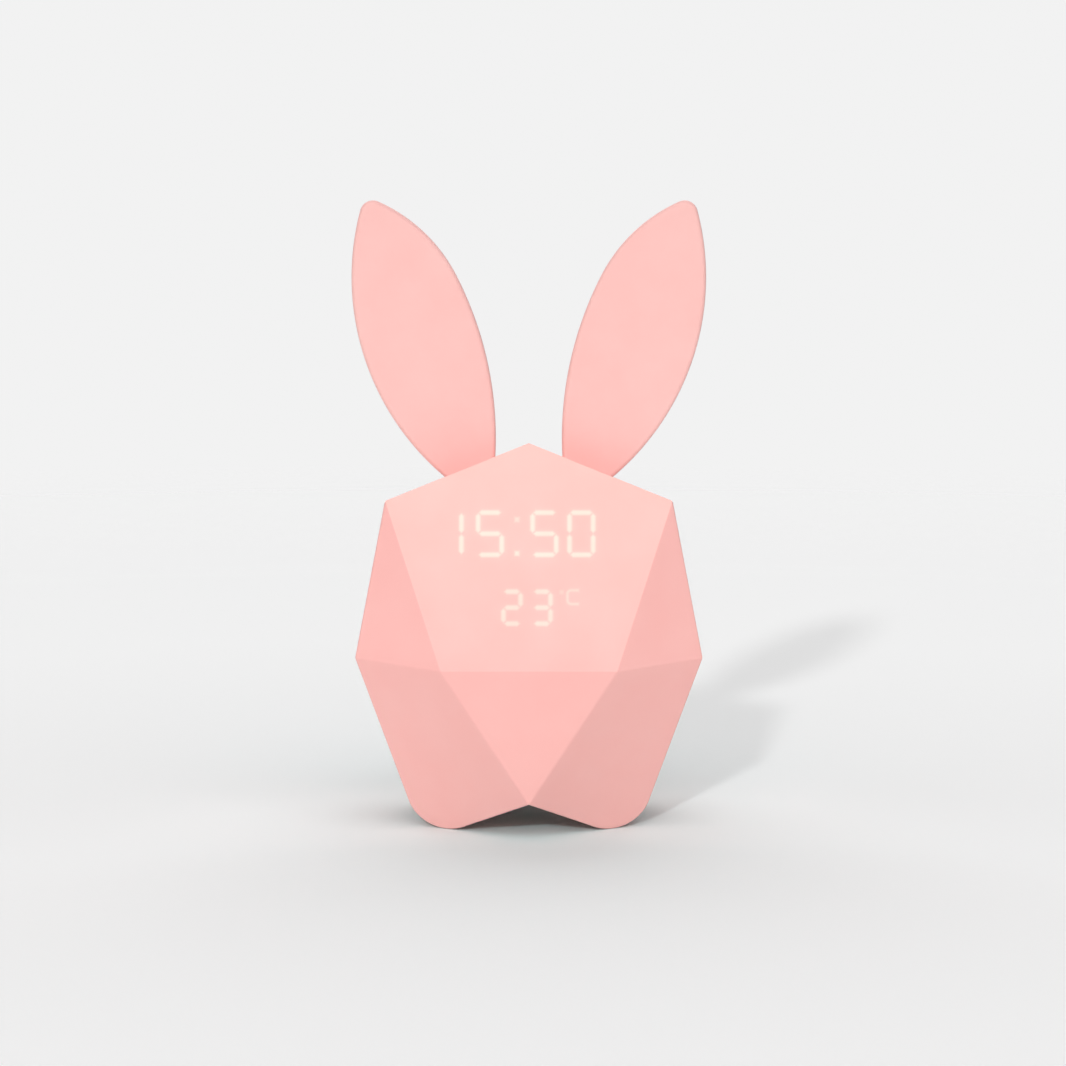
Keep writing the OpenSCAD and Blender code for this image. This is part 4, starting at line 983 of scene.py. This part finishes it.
# %% [markdown]
# ## Softened edges inside
# Nothing inside has a knife edge either: mouldings come out of the tool with small
# radii, boards are routed, cans are drawn, and a pouch cell is folded foil. Each of
# these pieces is a copy of the solid's own mesh, joined into one skin, whose sharp
# outward edges are rounded by a radius that suits the way it is made. Inward
# corners are left alone, because a rounding there would add material and could run
# into the piece that sits in them.

# %% Softened pieces
SOFT_PIECES = {
    # node: (piece, radius in millimetres, body if it is not the clock)
    "ear_keeper": ("ear_keeper_plate", 0.3),
    "display_reflector": ("reflector_block", 0.12),
    "display_diffuser": ("display_diffuser_film", 0.06),
    "display_bars_lit": ("display_light_bars", 0.08),
    "display_bars_dark": ("display_unlit_bars", 0.08),
    "ribbon_cable": ("board_ribbon_cable", 0.12),
    "display_board": ("display_board_laminate", 0.08),
    "display_connector": ("display_connector_shroud", 0.12),
    "main_board": ("main_board_laminate", 0.08),
    "main_connectors": ("main_connector_shrouds", 0.12),
    "main_chips": ("chip_packages", 0.1),
    "key_switch_bodies": ("key_switch_cases", 0.15),
    "alarm_switch_body": ("slide_switch_can", 0.15),
    "sound_sensor": ("microphone_can", 0.15),
    "tap_sensor": ("tap_sensor_can", 0.15),
    "temperature_sensor": ("temperature_sensor_bead", 0.2),
    "speaker_basket": ("speaker_frame", 0.25),
    "speaker_ring": ("speaker_gasket", 0.2),
    "speaker_magnet": ("speaker_magnet_cup", 0.3),
    "battery_tray": ("battery_tray_moulding", 0.3),
    "battery_cell": ("battery_pouch", 1.0),
    "battery_strap": ("battery_strap_band", 0.12),
    "light_board": ("light_board_laminate", 0.08),
    "light_leds": ("light_chip_packages", 0.1),
    "display_leds": ("display_chip_packages", 0.06),
    "shell_screws": ("shell_screw_set", 0.15),
    "ear_keeper_screw": ("ear_keeper_screw_head", 0.12),
}
for part in ("display_board", "main_board", "speaker", "battery_tray", "light_board"):
    SOFT_PIECES[part + "_screws"] = (part + "_screw_set", 0.12)
for part in ("set", "up", "down", "light"):
    SOFT_PIECES["key_" + part + "_plunger"] = (part + "_key_push_rod", 0.12, part + "_key")
FINISH_OF = {name: finish for finish, names in FINISHES.items() for name in names.split()}


SHARP = radians(35)


def inner_piece(bm, node, name, body="clock"):
    """A reworked copy of an inner solid, in the finish of its node."""
    finish = FINISH_OF[node]
    obj = finished_mesh(bm, name, [node], body)
    wear(obj, finish)
    return obj


def softened(node, name, radius, body="clock"):
    """The solid's mesh as one skin; edges that turn outwards by more than SHARP
    are rounded by radius, and gentler ones are shaded smooth."""
    bm = joined(node)
    weigh_edges(bm, lambda edge: edge.is_convex and edge.calc_face_angle(0) > SHARP, SHARP)
    bevelled(inner_piece(bm, node, name, body), "small radius", radius * MM, 2, True)


for node, row in SOFT_PIECES.items():
    softened(node, *row)
print(len(SOFT_PIECES), "inner pieces softened")

# %% Leads
LEADS = {"speaker_lead": "speaker_wire_pair", "battery_lead": "battery_wire_pair",
         "light_lead": "night_light_wire_pair"}
# Subdividing a joined solid turns its flats into round insulation that bends in
# smooth curves
for node, name in LEADS.items():
    curve = inner_piece(joined(node), node, name).modifiers.new("round insulation", "SUBSURF")
    curve.levels = curve.render_levels = 2
print(len(LEADS), "leads rounded")

# %% [markdown]
# ## Loudspeaker cone
# The cone is pressed paper: a domed dust cap, a flared cone and a half-round roll
# that lets it move. They could be three pieces, but one profile, turned about the
# axis of the grille, makes all three without a seam.

# %% Loudspeaker cone
# The face under the rear knee edge goes in by 5.7 mm over a fall of 36.4 mm. The
# cone's place on it is given as on the faces above, y up the face and z outwards
CHIN_LEAN = atan(5.7 / 36.4)
SPEAKER_Y, SPEAKER_TOP = -14.0, -3.5
# Radius and height of the paper's underside from the axis out, and of its upper
# side back to the axis
CONE_UNDER = [(0, -1.3), (1.5, -1.42), (2.9, -1.7), (4, -1.52), (5, -1.3), (6, -1.0),
              (6.5, -0.78), (6.65, -0.6), (6.95, -0.52), (7.3, -0.6), (7.4, -0.6)]
CONE_OVER = [(7.4, -0.45), (7.25, -0.34), (6.95, -0.3), (6.65, -0.36), (6.5, -0.55),
             (6, -0.76), (5, -1.04), (4, -1.24), (3.05, -1.38), (2.95, -1.3), (2.5, -1.12),
             (2, -1.01), (1, -0.92), (0, -0.9)]
points, faces = lathe(CONE_UNDER + CONE_OVER, 96)
x, y, z = (points + [0, SPEAKER_Y, SPEAKER_TOP]).T * MM
cone = np.stack([-x, HALF_DEPTH + y * sin(CHIN_LEAN) + z * cos(CHIN_LEAN),
                 KNEE_HEIGHT + y * cos(CHIN_LEAN) - z * sin(CHIN_LEAN)], 1)
piece("speaker_cone_paper", cone, faces, paper, ["speaker_cone"])
print("cone", len(points), "points")

# %% [markdown]
# ## Camera, floor and light
# The clock stands on a pale sweep. A key light stands low at the front left and
# wide pale panels fill the rest, as in a small light tent. All are sun lamps, wide
# or narrow, because a sun's level does not change with distance as an area lamp's
# does, so the same colour shows the same at the feet and at the ears.

# %% Camera
CAMERA_PLACE, CAMERA_TILT, LENS = (0.0011, -1.278, 0.2244), radians(83.44), 160.35

camera = in_scene("camera", bpy.data.cameras.new("camera"))
camera.location, camera.rotation_euler = CAMERA_PLACE, (CAMERA_TILT, 0, 0)
camera.data.sensor_width, camera.data.lens = 36, LENS
bpy.context.scene.camera = camera
print("camera", round(camera.location.length, 2), "m away with a lens of", LENS, "mm")

# %% Floor
# Distances from the clock in metres, over which the floor turns from a painted shade round the
# clock to pale, and then fades out into the backdrop
PAINTED_SHADE_REACH, FADE_REACH = (0.12, 0.35), (0.55, 0.95)
PAINTED_NEAR_TONE, NEAR_REACH, NEAR_STRETCH = (0.57, 0.93, 0.94), 58 * MM, 1.55


def floor_finish():
    """Matt paper that fades out into the backdrop away from the clock. A painted shade darkens it
    round the clock, and the pink light that the body throws on it is taken out by a painted tone
    that falls off as exp(-distance / NEAR_REACH), where a distance across the view counts
    NEAR_STRETCH times."""
    f = Finish("floor_paper")
    away = f.length(f.place)
    fibre = f.calc("MULTIPLY", f.noise(900, 3), 0.02)
    # painted shade: the paper is darker near the clock
    shade_pool = f.calc("ADD", f.spread(away, 0.93, 0.97, PAINTED_SHADE_REACH), fibre)
    beside = f.length(f.stretch((NEAR_STRETCH, 1, 1)))
    near = f.calc("EXPONENT", f.calc("DIVIDE", beside, -NEAR_REACH))
    # painted tone near the clock: darker, with the body's pink light taken out
    f.set(Base_Color=f.between(near, shade_pool, PAINTED_NEAR_TONE), Roughness=0.9, Specular_IOR_Level=0.1)
    clear = f.node("ShaderNodeBsdfTransparent").outputs[0]
    mix = f.node("ShaderNodeMixShader", {0: f.spread(away, 0, 1, FADE_REACH),
                                         1: f.shader.outputs[0], 2: clear})
    f.plug(f.tree.nodes["Material Output"].inputs["Surface"], mix.outputs[0])
    return f


floor_mesh = bpy.data.meshes.new("floor")
turns = np.linspace(0, 2 * pi, 96, endpoint=False)
rim = np.stack([np.cos(turns), np.sin(turns), 0 * turns], 1)
floor_mesh.from_pydata(rim.tolist(), [], [list(range(len(turns)))])
floor = in_scene("floor", floor_mesh)
wear(floor, floor_finish())
print("floor fades out", FADE_REACH[1], "m from the clock")

# %% Light
# Direction towards each lamp, the level at which a white matt surface square to it
# would show, and its width in the sky in degrees
LAMPS = {
    "key_light": ((-0.465, -2.589, 1), 0.384, 3),
    "front_box": ((0.1, -0.66, 0.75), 0.305, 50),
    "left_box": ((-0.85, -0.4, 0.35), 0.119, 60),
    "right_box": ((0.85, -0.4, 0.35), 0.099, 60),
    "back_box": ((-0.05, 0.75, 0.66), 0.52, 80),
}
BACKDROP_LEVEL, FILL_LEVEL = 0.887, 0.125

for name, (towards, level, width) in LAMPS.items():
    lamp = in_scene(name, bpy.data.lights.new(name, "SUN"))
    lamp.data.energy, lamp.data.angle = level * pi, radians(width)
    lamp.rotation_euler = Vector(towards).to_track_quat("Z", "Y").to_euler()

# The camera sees the pale backdrop, and everything else only the dimmer fill
world = bpy.data.worlds.new("surround")
bpy.context.scene.world = world
world.use_nodes = True
tree = world.node_tree
seen = tree.nodes["Background"]
seen.inputs["Color"].default_value = (1, 1, 1, 1)
seen.inputs["Strength"].default_value = BACKDROP_LEVEL
fill = tree.nodes.new("ShaderNodeBackground")
fill.inputs["Strength"].default_value = FILL_LEVEL
ray = tree.nodes.new("ShaderNodeLightPath")
choose = tree.nodes.new("ShaderNodeMixShader")
tree.links.new(ray.outputs["Is Camera Ray"], choose.inputs[0])
tree.links.new(fill.outputs[0], choose.inputs[1])
tree.links.new(seen.outputs[0], choose.inputs[2])
tree.links.new(choose.outputs[0], tree.nodes["World Output"].inputs["Surface"])
bpy.context.scene.view_settings.view_transform = "Standard"
print(len(LAMPS), "lamps and the camera set")

# %% Finish
bpy.context.view_layer.update()
